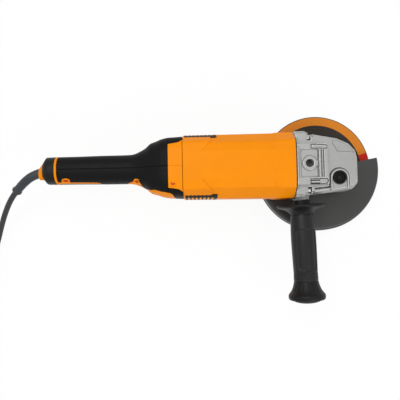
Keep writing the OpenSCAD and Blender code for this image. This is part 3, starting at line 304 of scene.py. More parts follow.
# cast aluminium: edges lightened in spots (wear and painted highlight), hollows darkened (painted shade)
CAST = plain("cast", (160, 160, 158), 0.4, metal=0.6, grain=1500, depth=0.06, vary=0.05, wear_and_painted_light=0.45)
CAST_RAW = plain("cast_raw", (172, 173, 172), 0.45, metal=0.6, grain=1400, depth=0.06, vary=0.06)
STEEL = plain("steel", (176, 176, 178), 0.3, metal=1.0, grain=900, depth=0.01, vary=0.05, scratch=0.01)
STEEL_DARK = plain("steel_dark", (70, 68, 66), 0.38, metal=0.7, grain=1200, depth=0.02)
ZINC = plain("zinc", (178, 178, 170), 0.34, metal=1.0, grain=1100, depth=0.015, vary=0.07)
LAMINATED = plain("laminated", (120, 120, 124), 0.5, metal=0.8, depth=0.02, scratch=0.02)
COPPER = plain("copper", (190, 104, 58), 0.35, metal=0.9, grain=700, depth=0.05, vary=0.12)
CARBON = plain("carbon", (52, 52, 54), 0.6, metal=0.2)
PALE = plain("pale", (214, 210, 196), 0.5, vary=0.04)
RED = plain("red", (190, 44, 26), 0.45, vary=0.05, gloss=0.3)
GUARD = plain("guard", (52, 52, 51), 0.42, metal=0.2, grain=1500, depth=0.035, vary=0.07)
CORD_RUBBER = plain("cord_rubber", (36, 38, 40), 0.5, grain=900, depth=0.05, vary=0.1)
RELIEF_RUBBER = plain("relief_rubber", (42, 48, 54), 0.42, grain=1000, depth=0.05, vary=0.07, gloss=0.4)

# ------------ cord

CORD_D = 9.0
CORD_ROUTE = [
    (-493, -30, 61.5), (-500.5, -37.5, 57), (-509, -47, 49.5), (-518, -58.5, 39.5), (-527, -72.5, 29),
    (-536, -90, 18.5), (-544, -110, 11), (-553, -132, 6.5), (-561, -155, 4.2), (-568, -178, 3.6),
    (-572.5, -198, 3.5), (-574, -216, 3.5),
]
RELIEF_PATH = [
    (-449.5, -2.6, 75), (-457, -5, 74.9), (-466.5, -9.4, 74.2), (-476.5, -16.4, 71.5), (-485.5, -23.8, 67),
    (-493, -30, 61.5),
]
PLUG_ROUTE = [
    (-702, -216, 12.5), (-702, -196, 12.3), (-702, -174, 10.5), (-703, -152, 7), (-704, -132, 5.2),
]
COIL = (-638, -216)


def coil_points():
    """Three turns inwards on the floor, then the rest outwards on top of them."""
    points = []
    per_turn = 32
    for k in range(1, int(5.5 * per_turn)):
        t = k / per_turn
        layer = t if t < 3 else t - 3
        step = math.floor(layer) + float(smoothstep(0.72, 1.0, layer % 1))
        if t < 3:
            r = 64 - CORD_D * min(step, 2)
            z = 3.5 + CORD_D * float(smoothstep(2.7, 3.0, t))
        else:
            r = 46 + CORD_D * step
            z = 12.5
        a = -2 * math.pi * t
        points.append(np.array((COIL[0] + r * math.cos(a), COIL[1] + r * math.sin(a), z)))
    return points


cord_line = fine(CORD_ROUTE, 4) + coil_points() + fine(PLUG_ROUTE, 4)[:-1] + [np.array((-704, -129, 5.2))]
curve = bpy.data.curves.new("cord_run", "CURVE")
curve.dimensions = "3D"
spline = curve.splines.new("POLY")
spline.points.add(len(cord_line) - 1)
for point, place in zip(spline.points, cord_line):
    point.co = (place[0] * MM, place[1] * MM, place[2] * MM, 1)
spline.use_smooth = True
curve.bevel_depth = CORD_D / 2 * MM
curve.bevel_resolution = 5
curve.use_fill_caps = True
cord_piece = link(bpy.data.objects.new("cord_run", curve))
curve.materials.append(CORD_RUBBER)
add(cord_piece, "body", "cord", "cord_coil", slot="cord_rubber")


def swept(name, path, radii, sides, material):
    rings = []
    up = Vector((0, 0, 1))
    for i, p in enumerate(path):
        a = Vector(path[max(i - 1, 0)])
        b = Vector(path[min(i + 1, len(path) - 1)])
        d = (b - a).normalized()
        u = d.cross(up).normalized()
        v = u.cross(d).normalized()
        rings.append([tuple(Vector(p) + (u * math.cos(t) + v * math.sin(t)) * radii[i])
                      for t in (2 * math.pi * k / sides for k in range(sides))])
    return skinned(name, rings, material, 50, caps=True)


# bend protector: a smooth sleeve with two shallow grooves and a rounded end collar
relief_line = [tuple(p) for p in fine([(-442, -0.6, 75)] + RELIEF_PATH, 14)]
travel = [0.0]
for a, b in zip(relief_line, relief_line[1:]):
    travel.append(travel[-1] + math.dist(a, b))
total = travel[-1]
relief_r = []
for s in travel:
    r = 7.4 - 0.7 * s / total
    left = total - s
    if left < 5.2:
        r = 6.6 + 1.35 * math.sqrt(max(0.0, 1 - ((left - 2.7) / 2.75) ** 2))
    for groove in (9.0, 12.4):
        r -= 0.45 * math.exp(-((left - groove) / 0.6) ** 2)
    relief_r.append(r)
sleeve = swept("bend_protector", relief_line, relief_r, 32, RELIEF_RUBBER)
add(sleeve, "body", "strain_relief", slot="cord_rubber")

# ------------ motor housing


def corner(a, b, c, r, steps):
    """Arc of radius r in place of the corner b between a and c."""
    a, b, c = (np.array(p, float) for p in (a, b, c))
    u = (a - b) / np.linalg.norm(a - b)
    v = (c - b) / np.linalg.norm(c - b)
    half = math.acos(float(np.clip(u @ v, -1, 1))) / 2
    w = (u + v) / np.linalg.norm(u + v)
    centre = b + w * r / math.sin(half)
    p = b + u * r / math.tan(half) - centre
    q = b + v * r / math.tan(half) - centre
    start = math.atan2(p[1], p[0])
    turn = (math.atan2(q[1], q[0]) - start + math.pi) % (2 * math.pi) - math.pi
    angles = [start + turn * i / steps for i in range(steps + 1)]
    return [tuple(centre + r * np.array((math.cos(t), math.sin(t)))) for t in angles]


def rounded(points, radii, steps=6):
    n = len(points)
    threes = [(points[i - 1], points[i], points[(i + 1) % n]) for i in range(n)]
    return [q for three, r in zip(threes, radii) for q in corner(*three, r, steps)]


def housing_profile(width, drop, height, crease):
    """Twelve-sided section of the housing, its corners rounded."""
    w, h = width / 2, height / 2
    panel, flank = 21.0, 24.0
    points = [
        (w, -flank), (w, flank), (crease, h - drop), (panel, h), (-panel, h), (-crease, h - drop),
        (-w, flank), (-w, -flank), (-crease, drop - h), (-panel, -h), (panel, -h), (crease, drop - h),
    ]
    return rounded(points, [8, 8, 7, 1.2, 1.2, 7, 8, 8, 7, 1.2, 1.2, 7])


def housing_ring(x, width, drop, inset=0.0, diagonal=False):
    ring = []
    for y, z in housing_profile(width - 2 * inset, drop, HOUSING_H - 2 * inset, 36 - drop * 0.4):
        shift = float(np.clip((abs(y) - 21) / 15, 0, 1)) * 14 if diagonal else 0.0
        ring.append((x + shift, y, MOTOR_Z + z))
    return ring


def widening(x):
    """Width of the housing, which grows a little towards its front band."""
    return 96.6 + (x - HOUSING_END) / (-87 - HOUSING_END) * 2.2


# from the rounded rear edge, over the slanted step to the panels, to the wider front band
BAND_W = 100.8
housing_rings = [
    housing_ring(-224.9, widening(-225), 1.6, 0.9),
    housing_ring(-224.6, widening(-225), 1.6, 0.3),
    housing_ring(-224.1, widening(-224), 1.6),
]
housing_rings += [housing_ring(x, widening(x), 1.6) for x in (-216, -207, -199)]
housing_rings += [
    housing_ring(-197.2, widening(-190), 1.7, 0, True),
    housing_ring(-196.6, widening(-190), 2.3, 0, True),
    housing_ring(-195.2, widening(-189), 4.7, 0, True),
    housing_ring(-194.6, widening(-189), 5.0, 0, True),
]
panel_xs = (-178, -165, -150, -135, -120, -105, -92, -88.4)
housing_rings += [housing_ring(x, widening(x), 5.0) for x in panel_xs]
housing_rings += [
    housing_ring(-88.0, 98.9, 4.9), housing_ring(-84.6, 100.4, 2.6), housing_ring(-83.6, BAND_W, 2.2),
    housing_ring(-77, BAND_W, 2.2), housing_ring(-69, BAND_W, 2.2), housing_ring(-58.2, BAND_W, 2.2),
    housing_ring(-57.3, BAND_W, 2.2, 0.3), housing_ring(-56.8, BAND_W, 2.2, 1.0),
]
add(skinned("housing_shell", housing_rings, ORANGE, 24), "body", "motor_housing", slot="orange_shell")

# black louvred vents, one in each flank
VENT = (-222.5, -173.5)
VENT_REACH = 32.5
VENT_OUT = 0.2
SLATS = 7


def flank_ring(x, side, raise_by):
    """Points up the flank of the housing at x, raised off it."""
    profile = housing_profile(widening(x) + 2 * raise_by, 1.8, HOUSING_H + 2 * raise_by, 35.3)
    points = sorted({(round(z, 4), round(y, 4)) for y, z in profile if y * side > 0 and abs(z) <= 47})
    zs = np.array([p[0] for p in points])
    ys = np.array([p[1] for p in points])
    reach = VENT_REACH
    levels = np.concatenate([
        [-reach, -reach + 0.5, -reach + 1.4],
        np.linspace(-reach + 4, reach - 4, 28),
        [reach - 1.4, reach - 0.5, reach],
    ])
    return [(x, float(np.interp(z, zs, ys)), MOTOR_Z + z) for z in levels]


def louvre_stations():
    """(x, height off the flank) along a vent: rim, slats with gaps between them, rim."""
    x, end = VENT
    stations = [(x, -0.9), (x + 0.25, -0.1), (x + 0.8, VENT_OUT), (x + 3.4, VENT_OUT)]
    pitch = (end - x - 7.0) / SLATS
    for k in range(SLATS):
        a = x + 3.5 + pitch * k
        stations += [(a + 0.3, 0.15), (a + 0.7, -1.6), (a + pitch - 3.1, -1.6), (a + pitch - 2.6, 0.05)]
        stations += [(a + pitch - 2.2, VENT_OUT), (a + pitch, VENT_OUT)]
    return stations + [(end - 3.0, VENT_OUT), (end - 0.8, VENT_OUT), (end - 0.25, -0.1), (end, -0.9)]


for side, label in ((1, "left"), (-1, "right")):
    rings = []
    for px, up in louvre_stations():
        ring = flank_ring(px, side, up)
        if VENT[0] < px < VENT[1]:
            border = flank_ring(px, side, VENT_OUT)
            for i in (2, 3, 4, -5, -4, -3):
                ring[i] = border[i]
        low = flank_ring(px, side, -0.9)
        ring[0], ring[-1] = low[0], low[-1]
        rings.append(ring)
    verts, faces = loft(rings, closed=False)
    if side > 0:
        faces = [tuple(reversed(f)) for f in faces]
    vent = mesh_piece("louvre_" + label, verts, faces, [BLACK], sharp=35)
    add(vent, "body", "vent_" + label, slot="black_plastic")

# ------------ rear handle

# along the handle from the housing: (length, half width, half height, exponent of the superellipse)
STATIONS = [
    (0, 47, 47.5, 4.2), (22, 46, 46.5, 4.1), (25, 45.6, 46, 4), (33, 44, 44.4, 3.8),
    (41, 41.2, 41.5, 3.5), (50, 38.5, 37.5, 3.2), (58, 32, 33, 2.9), (67, 27.2, 29.5, 2.7),
    (76, 23.7, 26.9, 2.5), (88, 22.5, 25.5, 2.4), (128, 22.2, 24.5, 2.4), (158, 21.7, 24.5, 2.4),
    (181, 21.5, 24.5, 2.4), (199, 21.4, 24.5, 2.4), (219, 21.1, 24.1, 2.4),
]
DENSE = np.array(fine(STATIONS, 8))
# angles from the top (90) round to the bottom (-90), close together near 90, 0 and -90
SPREAD = 90 * np.linspace(0, 1, 240) ** 3
ANGLES = np.unique(np.concatenate([90 - SPREAD, SPREAD, -SPREAD, SPREAD - 90]))[::-1]


class Section:
    """Half a cross-section of the handle, from its top round to its bottom, by length along it."""

    def __init__(self, s, grow=0.0):
        w, h, e = (float(np.interp(s, DENSE[:, 0], DENSE[:, k])) for k in (1, 2, 3))
        w, h = w + grow, h + grow
        c = np.abs(np.cos(np.radians(ANGLES)))
        d = np.abs(np.sin(np.radians(ANGLES)))
        self.y = w * np.where(c < 1e-9, 0, c) ** (2 / e)
        self.z = np.sign(ANGLES) * h * d ** (2 / e)
        self.run = np.concatenate([[0], np.cumsum(np.hypot(np.diff(self.y), np.diff(self.z)))])
        along = self.run + np.arange(len(ANGLES)) * 1e-9
        gy, gz = np.gradient(self.y, along), np.gradient(self.z, along)
        norm = np.hypot(gy, gz) + 1e-12
        self.ny, self.nz = -gz / norm, gy / norm

    def at_angle(self, angle):
        """Distance round the section to an angle."""
        return float(np.interp(-angle, -ANGLES, self.run))

    def at_width(self, y, upper=True):
        """Distance round the section to where it is y wide."""
        keep = ANGLES >= 0 if upper else ANGLES <= 0
        order = np.argsort(self.y[keep])
        return float(np.interp(y, self.y[keep][order], self.run[keep][order]))

    def point(self, run, out):
        """The point a distance round the section, moved out of the skin."""
        y, z = float(np.interp(run, self.run, self.y)), float(np.interp(run, self.run, self.z))
        ny, nz = float(np.interp(run, self.run, self.ny)), float(np.interp(run, self.run, self.nz))
        return max(y + ny * out, 0.0), z + nz * out


def handle_strip(name, places, top, low, side, out, materials, count, edge=0.9, depth=1.1):
    """A strip of the handle's skin between two lines along it, with rounded borders that drop by depth."""
    drops = [(0.0, depth), (0.12 * edge, depth * 0.45), (0.45 * edge, depth * 0.12), (edge, 0.0)]
    rings = []
    first, last = places[0], places[-1]
    start = [(first + q, d) for q, d in drops]
    middle = [(p, 0.0) for p in places if first + edge < p < last - edge]
    for s, sink in start + middle + [(last - q, d) for q, d in reversed(drops)]:
        sec = Section(s)
        a, b = top(s, sec), low(s, sec)
        span = max(b - a, 2 * edge + 0.4)
        runs = [(a + q, d) for q, d in drops]
        runs += [(a + edge + (span - 2 * edge) * k / count, 0.0) for k in range(1, count)]
        runs += [(a + span - q, d) for q, d in reversed(drops)]
        ring = []
        for run, d in runs:
            y, z = sec.point(run, out - max(d, sink))
            ring.append((HOUSING_END - s, side * y, MOTOR_Z + z))
        rings.append(ring)
    verts, faces = loft(rings, closed=False)
    if side > 0:
        faces = [tuple(reversed(f)) for f in faces]
    return mesh_piece(name, verts, faces, materials, sharp=60)


# seams: the angle at each length where the soft covering ends and the shell starts
RIGHT_LINE = [
    (0, -30), (10, -30), (12.5, -8), (14, 20), (16, 34), (20, 41), (30, 42), (44, 40), (52, 32), (57, 14),
    (59, 2), (61, 4), (63.5, 22), (66.5, 42), (70, 50), (73, 46), (77, 34), (81, 26), (86, 14), (90, -6),
    (95, -30), (118, -30), (124, -8), (128, 18), (134, 25), (174, 27), (176.5, 34), (179, 46), (182, 48),
    (185, 40), (188, 30), (199, 27),
]
LEFT_LINE = [
    (0, -30), (12, -30), (14.5, -8), (17, 10), (22, 15), (40, 15), (46, 4), (54, -24), (60, -30),
    (132, -30), (140, -6), (146, 10), (154, 15), (199, 16),
]
# half width of the collar at each length
COLLAR_LINE = [(0, 39.5), (3, 36.8), (6, 35.2), (10, 34.3), (21.4, 32.6)]


def line_at(points, s):
    return float(np.interp(s, [p[0] for p in points], [p[1] for p in points]))


def grid(a, b, step):
    n = max(2, int(round((b - a) / step)))
    return [a + (b - a) * k / n for k in range(n + 1)]


SLOT = (88.5, 181.0)  # where the trigger comes through
SLOT_HALF = 8.1
GRIP_END = 193.4
for side, label, line in ((-1, "right", RIGHT_LINE), (1, "left", LEFT_LINE)):
    soft_low = lambda s, sec, line=line: sec.at_angle(line_at(line, s))
    # soft covering, from the collar to the tail ring
    soft = handle_strip(
        "soft_" + label, grid(21.9, GRIP_END, 1.6), lambda s, sec: 0.12, soft_low, side, 0.15, [SOFT], 46)
    # its wing beside the collar
    wing_top = lambda s, sec: sec.at_width(line_at(COLLAR_LINE, s) + 0.35)
    wing = handle_strip(
        "soft_wing_" + label, grid(0.5, 22.0, 1.2), wing_top, soft_low, side, 0.15, [SOFT], 30, 0.7)
    join(soft, wing)
    add(soft, "body", "soft_grip_" + label, slot="soft_black")
    # orange shell below the soft covering, open where the trigger comes through
    bottom = lambda s, sec: (
        sec.at_width(SLOT_HALF, False) if SLOT[0] < s < SLOT[1] else float(sec.run[-1]) - 0.12)
    places = sorted(set(grid(0.5, GRIP_END, 1.6) + [SLOT[0], SLOT[0] + 0.05, SLOT[1] - 0.05, SLOT[1]]))
    shell_top = lambda s, sec, line=line: sec.at_angle(line_at(line, s)) + 0.3
    shell = handle_strip("shell_" + label, places, shell_top, bottom, side, 0.0, [ORANGE, BLACK], 40)
    # its lower part on the right is black
    if side < 0:
        for face in shell.data.polygons:
            at = HOUSING_END - face.center.x / MM
            below = face.center.z / MM < MOTOR_Z + 7.5
            face.material_index = int(86 < at < 193 and below)
    # half the collar
    collar_low = lambda s, sec: sec.at_width(line_at(COLLAR_LINE, s))
    collar = handle_strip(
        "collar_" + label, grid(0.5, 21.6, 1.5), lambda s, sec: 0.05, collar_low, side, 0.2, [ORANGE],
        30, 0.6, 0.3)
    join(shell, collar)
    add(shell, "body", "rear_handle_" + label, slot="orange_shell")


def around(s, grow, count=96):
    """A whole cross-section of the handle."""
    sec = Section(s, grow)
    runs = [float(sec.run[-1]) * k / (count // 2) for k in range(count // 2 + 1)]
    half = [sec.point(r, 0) for r in runs]
    ring = [(HOUSING_END - s, -y, MOTOR_Z + z) for y, z in half]
    return ring + [(HOUSING_END - s, y, MOTOR_Z + z) for y, z in reversed(half[1:-1])]


# inner walls, seen only in the joints between the pieces and behind the trigger
verts, faces = loft([around(s, -1.3, 64) for s in grid(0.6, 199, 4)])
liner = mesh_piece("handle_lining", verts, faces, [BLACK], sharp=60)
liner_bm = bmesh.new()
liner_bm.from_mesh(liner.data)
centres = [(f, f.calc_center_median()) for f in liner_bm.faces]
gone = [f for f, c in centres if -406 < c.x / MM < -313.5 and abs(c.y) < 8.6 * MM and c.z < 60 * MM]
bmesh.ops.delete(liner_bm, geom=gone, context="FACES")
liner_bm.to_mesh(liner.data)
liner_bm.free()
add(liner, "body")

# orange ring and black tail
ring_steps = [
    (193.6, -1.0), (193.7, -0.3), (194.1, 0.2), (195.5, 0.35), (196.9, 0.2), (197.3, -0.3), (197.4, -1.0),
]
rings = [around(s, g) for s, g in ring_steps]
add(skinned("tail_ring", rings, ORANGE, 50), "body", slot="orange_shell")
tail_steps = [
    (197.6, -1.0), (197.7, -0.3), (198.2, 0.1), (204, 0), (211.2, 0.0), (211.9, -0.3), (216.6, -6.0),
    (217.2, -6.7), (217.4, -7.4), (217.4, -9),
]
rings = [around(s, g) for s, g in tail_steps]
add(skinned("tail_piece", rings, BLACK, 40), "body", "tail_cap", slot="black_plastic")

# the bush leans with the cord: its rings (radius, distance back, slide) go right towards the tail
BUSH = [
    (13.9, 442.4, 0), (14.2, 442.7, 0), (14.3, 443.2, 0.1), (10.2, 449.6, 3.6), (9.6, 450.3, 4.1),
    (8.9, 450.5, 4.3), (8.1, 450.3, 4.2), (7.6, 449, 3.4), (7.4, 444, 1.0),
]
turns = [2 * math.pi * k / 64 for k in range(64)]
rings = [[(-along, r * math.cos(a) - slide, MOTOR_Z + r * math.sin(a)) for a in turns]
         for r, along, slide in BUSH]
add(skinned("bush_cone", rings, ORANGE, 40), "body", "cord_bush", slot="orange_shell")


def lathe_at(name, profile, place, steps, material):
    """A profile of (radius, height) turned about an axis that place maps into the tool."""
    return skinned(name, revolve(profile, steps, place=place), material, 35, closed=False)


def skin_place(s, angle):
    """Frame on the handle's right half at an angle above its middle, square to the skin, longer along it."""
    sec = Section(s)
    run = sec.at_angle(angle)
    y, z = sec.point(run, 0.0)
    y_out, z_out = sec.point(run, 1.0)
    ny, nz = y_out - y, z_out - z
    return lambda p: (
        HOUSING_END - s + p[0] * 1.5, -(y + ny * p[2] - nz * p[1]), MOTOR_Z + z + nz * p[2] + ny * p[1])


# screws in their scoops on the handle's right half, their heads coloured darker orange as painted shade of
# the recess
CUP = [(4.5, -1.5), (4.3, 0.5), (3.9, 1.15), (3.3, 1.2), (2.9, 0.7), (2.75, -0.4)]
HEAD = [(2.9, 0.3), (2.4, 0.4), (1.2, 0.45), (1.1, 0.1), (0.0, 0.05)]
for k, (s, angle) in enumerate(((69.5, 44), (180.5, 42))):
    place = skin_place(s, angle)
    add(lathe_at("scoop_%d" % k, CUP, place, 40, ORANGE), "body", slot="orange_shell")
    add(lathe_at("scoop_screw_%d" % k, HEAD, place, 32, ORANGE_RECESS_SHADE), "body", slot="dark_steel")

# and one on the collar, its head also in the darker orange of painted shade
sec = Section(15)
top_z = MOTOR_Z + float(np.interp(sec.at_width(25.2), sec.run, sec.z)) + 0.2
collar_place = lambda p: (-239.3 + p[0], -25.2 + p[1] * 1.15, top_z + p[2] - 0.1 * p[1])
rim = [(4.9, -0.6), (4.6, 0.25), (4.1, 0.5), (3.6, 0.35), (3.2, -0.1)]
add(lathe_at("collar_scoop", rim, collar_place, 40, ORANGE), "body", slot="orange_shell")
head = [(3.3, 0.02), (2.8, 0.06), (1.3, 0.08), (1.1, -0.2), (0.0, -0.25)]
add(lathe_at("collar_screw", head, collar_place, 32, ORANGE_RECESS_SHADE), "body", slot="dark_steel")

# ------------ side handle

SIDE_X = -43.5
LEAN = math.radians(2)


def side_place(p):
    """(right along the nose, up, out along the handle) to the side handle's own frame."""
    x, z, out = p
    across, along = math.cos(LEAN), math.sin(LEAN)
    return (SIDE_X + x * across + out * along, -out * across + x * along, MOTOR_Z + z)


# (radius, distance out) of the flange, the grip and the flared end
FLANGE = [
    (11.5, 53.5), (12.6, 53.45), (13.2, 53.9), (13.5, 55.0), (13.5, 59.2), (14.0, 59.8), (14.8, 60.0),
    (36.6, 60.05), (37.6, 60.25), (38.3, 61.0), (38.5, 62.0), (38.2, 63.2), (37.0, 64.4), (34, 65.6),
    (28, 67.2), (23, 69.4), (19.6, 72.6), (18.6, 74.2),
]
NECK = [
    (17.0, 74.3), (16.8, 75.3), (17.0, 76.0), (17.4, 76.3), (17.7, 78), (18.1, 82), (18.5, 88), (18.9, 95),
    (19.2, 102), (19.3, 112), (19.3, 124), (19.1, 136), (18.9, 148), (18.7, 158), (18.6, 166), (18.8, 172),
    (18.9, 177.6), (18.6, 178.4),
]
FLARE = [
    (18.2, 178.6), (18.6, 178.9), (18.9, 180), (19.8, 184), (21.4, 189), (23.5, 193.5), (26, 197),
    (27.6, 198.9), (28.3, 200.4), (28.5, 202), (28.4, 204.6), (27.9, 206.2), (26.9, 207.3), (25.4, 207.6),
    (24.3, 207.0), (23.4, 206.9), (22, 208.4), (19.2, 210.4), (13.5, 212.1), (7, 212.8), (0.01, 213),
]


def profile_ring(r, out, count=128, shape=None):
    ring = []
    for k in range(count):
        a = 2 * math.pi * k / count
        rr = r + (shape(a, out) if shape else 0.0)
        ring.append(side_place((rr * math.cos(a), rr * math.sin(a), out)))
    return ring


rings = [profile_ring(r, o) for r, o in FLANGE]
add(skinned("side_handle_flange", rings, BLACK, 35), "body", slot="black_plastic")

# thumb panels: middle, half length, half width and corner radius; then the ends of the knurled band
PANEL_MID, PANEL_HALF, PANEL_WIDE, PANEL_R = 130.5, 32.0, 16.0, 7
GRIP_R = 19.2
KNURL = (164.5, 176.0)


def panel_shape(a, out):
    """Rounded thumb panel pressed into either face of the grip, and a knurled band beyond them."""
    top = abs((math.degrees(a) - 84 + 180) % 360 - 180)
    down = abs((math.degrees(a) - 264 + 180) % 360 - 180)
    change = 0.0
    for spread in (top, down):
        across = max(spread * math.pi / 180 * GRIP_R - PANEL_WIDE + PANEL_R, 0.0)
        along = max(abs(out - PANEL_MID) - PANEL_HALF + PANEL_R, 0.0)
        reach = math.hypot(across, along) - PANEL_R
        change -= 0.9 * float(smoothstep(0.5, -0.5, reach))
        change += 0.5 * math.exp(-((reach - 1.3) / 0.8) ** 2)
    first, last = KNURL
    if first < out < last:
        knurl = 0.5 + 0.5 * math.cos(a * 44)
        wave = 0.5 + 0.5 * math.cos((out - first) / 1.64 * 2 * math.pi)
        fade = float(smoothstep(first, first + 0.9, out)) * float(smoothstep(last, last - 0.9, out))
        change += fade * (-0.55 + 0.75 * knurl * wave)
    return change


neck_r = [r for r, _ in NECK]
neck_out = [o for _, o in NECK]
rows = []
for o in sorted(set(neck_out + grid(76.5, 96, 1.0) + grid(96, 163, 0.7) + grid(163, 178, 0.33))):
    shape = panel_shape if 77 < o < 178.3 else None
    rows.append(profile_ring(float(np.interp(o, neck_out, neck_r)), o, 256, shape))
add(skinned("side_grip", rows, GRIP, 50), "body", "side_handle_grip", slot="soft_black")


def flare_shape(a, out):
    """Faint flutes on the flare."""
    fade = float(smoothstep(181, 186, out)) * float(smoothstep(197, 192, out))
    return -0.35 * fade * (0.5 + 0.5 * math.cos(a * 12)) ** 4


rows = []
for r, o in fine(FLARE, 3):
    rows.append(profile_ring(float(r), float(o), 144, flare_shape if 181 < o < 197 else None))
add(skinned("side_handle_end", rows, BLACK, 50), "body", "side_handle_core", slot="black_plastic")

# ------------ guard and disc

GUARD_START = 10.5
GUARD_IN, GUARD_OUT, GUARD_TOP, GUARD_T = 36.0, 102.0, 23.0, 2
BEND = 5.0


def guard_section():
    """Flat top, a bend, the skirt with its rolled rim, and back inside."""
    flat = GUARD_OUT - BEND
    points = [(GUARD_IN, GUARD_TOP), (GUARD_IN + 2, GUARD_TOP + 0.02)]
    points += [(GUARD_IN + (flat - GUARD_IN) * k / 10, GUARD_TOP) for k in range(1, 11)]
    for a in (math.radians(q) for q in range(9, 91, 9)):
        points.append((flat + BEND * math.sin(a), GUARD_TOP - BEND + BEND * math.cos(a)))
    points += [(GUARD_OUT + d, z) for d, z in (
        (0, 14), (0, 9), (0, 4.6), (0.3, 3.9), (0.8, 3.2), (0.9, 2.4), (0.7, 1.5), (0.1, 1.05), (-0.9, 1.2),
        (-1.5, 1.9), (-1.8, 3.2), (-2, 14))]
    for a in (math.radians(q) for q in range(90, -1, -10)):
        points.append((flat + (BEND - 2) * math.sin(a), GUARD_TOP - BEND + (BEND - 2) * math.cos(a)))
    return points + [(flat - (flat - GUARD_IN) * k / 6, GUARD_TOP - GUARD_T) for k in range(1, 7)]


rings = revolve(guard_section(), 150, first=GUARD_START, turn=-180.0)
guard = skinned("guard_plate", rings, GUARD, 32, caps=True)
bevel(guard, 0.3, 2, 60)
add(guard, "guard", slot="guard_steel")
collar = [
    (30.35, 20.7), (42, 20.7), (42.2, 20.9), (42.2, 23.1), (42.0, 23.3), (30.5, 23.3), (30.35, 23.2),
    (30.35, 20.7),
]
guard_ring = skinned("guard_ring", revolve(collar, 120), GUARD, 32, closed=False)
add(guard_ring, "guard", "guard_shell", slot="guard_steel")

# disc: woven abrasive with a printed ring; every colour lies in the material by its place
DISC_TOP, DISC_BOTTOM = 5.0, -1
RING = (78.0, 91.7)
RED_ARC = (10.8, 18.6)  # degrees
HUB = (21.0, 25.5)
disc = Nodes("disc_print")
split = disc.new("ShaderNodeSeparateXYZ")
disc.wire(disc.coords, split.inputs[0])
X, Y, Z = split.outputs
squares = disc.math("ADD", disc.math("MULTIPLY", X, X), disc.math("MULTIPLY", Y, Y))
radius = disc.math("MULTIPLY", disc.math("SQRT", squares), 1 / MM)
angle = disc.math("MULTIPLY", disc.math("ARCTAN2", Y, X), 180 / math.pi)
speck = disc.noise(1900, 4, 0.7)
coarse = disc.noise(420, 3, 0.6)
stops = ((0.36, linear((26, 24, 22))), (0.5, linear((44, 40, 37))), (0.66, linear((78, 70, 62))))
grit = disc.ramp(speck, *stops)
WEAVE = 4.2 * MM
weave_x = disc.math("SINE", disc.math("MULTIPLY", X, 2 * math.pi / WEAVE))
weave_y = disc.math("SINE", disc.math("MULTIPLY", Y, 2 * math.pi / WEAVE))
weave = disc.math("MAXIMUM", weave_x, weave_y)
threads = disc.ramp(weave, (0.86, [0, 0, 0]), (0.97, [1, 1, 1]))
body_colour = disc.mix(disc.math("MULTIPLY", threads, 0.15), grit, linear((84, 72, 56)))
worn = disc.ramp(coarse, (0.35, [0.0, 0.0, 0.0]), (0.75, [1, 1, 1]))
ink = disc.mix(disc.math("MULTIPLY", worn, 0.16), linear((214, 128, 38)), linear((150, 88, 34)))
glints = disc.ramp(speck, (0.55, [0, 0, 0]), (0.72, [1, 1, 1]))
ink = disc.mix(disc.math("MULTIPLY", glints, 0.25), ink, linear((240, 170, 90)))
red_ink = disc.mix(disc.math("MULTIPLY", worn, 0.2), linear((214, 44, 30)), linear((150, 30, 22)))


def within(value, span, soft):
    """1 inside the span of a value, 0 outside, with soft borders."""
    low, high = span
    a = disc.new("ShaderNodeMapRange", interpolation_type="SMOOTHSTEP")
    a.inputs["From Min"].default_value = low - soft
    a.inputs["From Max"].default_value = low + soft
    b = disc.new("ShaderNodeMapRange", interpolation_type="SMOOTHSTEP")
    b.inputs["From Min"].default_value = high - soft
    b.inputs["From Max"].default_value = high + soft
    b.inputs["To Min"].default_value = 1.0
    b.inputs["To Max"].default_value = 0.0
    disc.wire(value, a.inputs["Value"])
    disc.wire(value, b.inputs["Value"])
    return disc.math("MULTIPLY", a.outputs[0], b.outputs[0])


on_top = disc.new("ShaderNodeMapRange")
disc.wire(Z, on_top.inputs["Value"])
on_top.inputs["From Min"].default_value = 0.0044
on_top.inputs["From Max"].default_value = 0.0049
ring_mask = disc.math("MULTIPLY", within(radius, RING, 0.25), on_top.outputs[0])
red_mask = disc.math("MULTIPLY", ring_mask, within(angle, RED_ARC, 0.25))
hub_mask = disc.math("MULTIPLY", within(radius, HUB, 0.2), on_top.outputs[0])
colour = disc.mix(ring_mask, body_colour, ink)
colour = disc.mix(red_mask, colour, red_ink)
colour = disc.mix(hub_mask, colour, linear((150, 150, 146)))
disc.set(Base_Color=colour, Roughness=disc.math("MULTIPLY_ADD", coarse, 0.2, 0.6))
disc.shader.inputs["Specular IOR Level"].default_value = 0.15
printed = disc.mix(ring_mask, speck, disc.math("MULTIPLY", speck, 0.45))
disc.bump((printed, 0.6, 0.25), (threads, 0.35, 0.12))
sink = [0.5 - 0.5 * math.cos(math.pi * k / 8) for k in range(1, 9)]
disc_profile = [(11.2, 9.5), (11.3, 9.6), (26.8, 9.6), (27.4, 9.45)]
disc_profile += [(27.4 + 9 * (k + 1) / 8, 9.45 - 4.4 * sink[k]) for k in range(8)]
disc_profile += [(r, DISC_TOP) for r in (37, 50, 62, 74, 84, 92.4)]
disc_profile += [(92.8, 4.8), (93, 4.4), (93, 2), (93, -0.4), (92.8, -0.8)]
disc_profile += [(r, DISC_BOTTOM) for r in (92.4, 76, 60, 45, 37)]
disc_profile += [(36.4 - 9 * (k + 1) / 8, DISC_BOTTOM + 4.55 * sink[k]) for k in range(8)]
disc_profile += [(27.0, 3.6), (11.3, 3.6), (11.2, 3.7), (11.2, 9.5)]
disc_piece = skinned("abrasive_disc", revolve(disc_profile, 180), disc.material, 40, closed=False)
add(disc_piece, "spindle", "grinding_disc", slot="disc_face")

# ------------ gear head

LOCK = (9.0, -22.0)
TOP_HOLE_X = -36.5


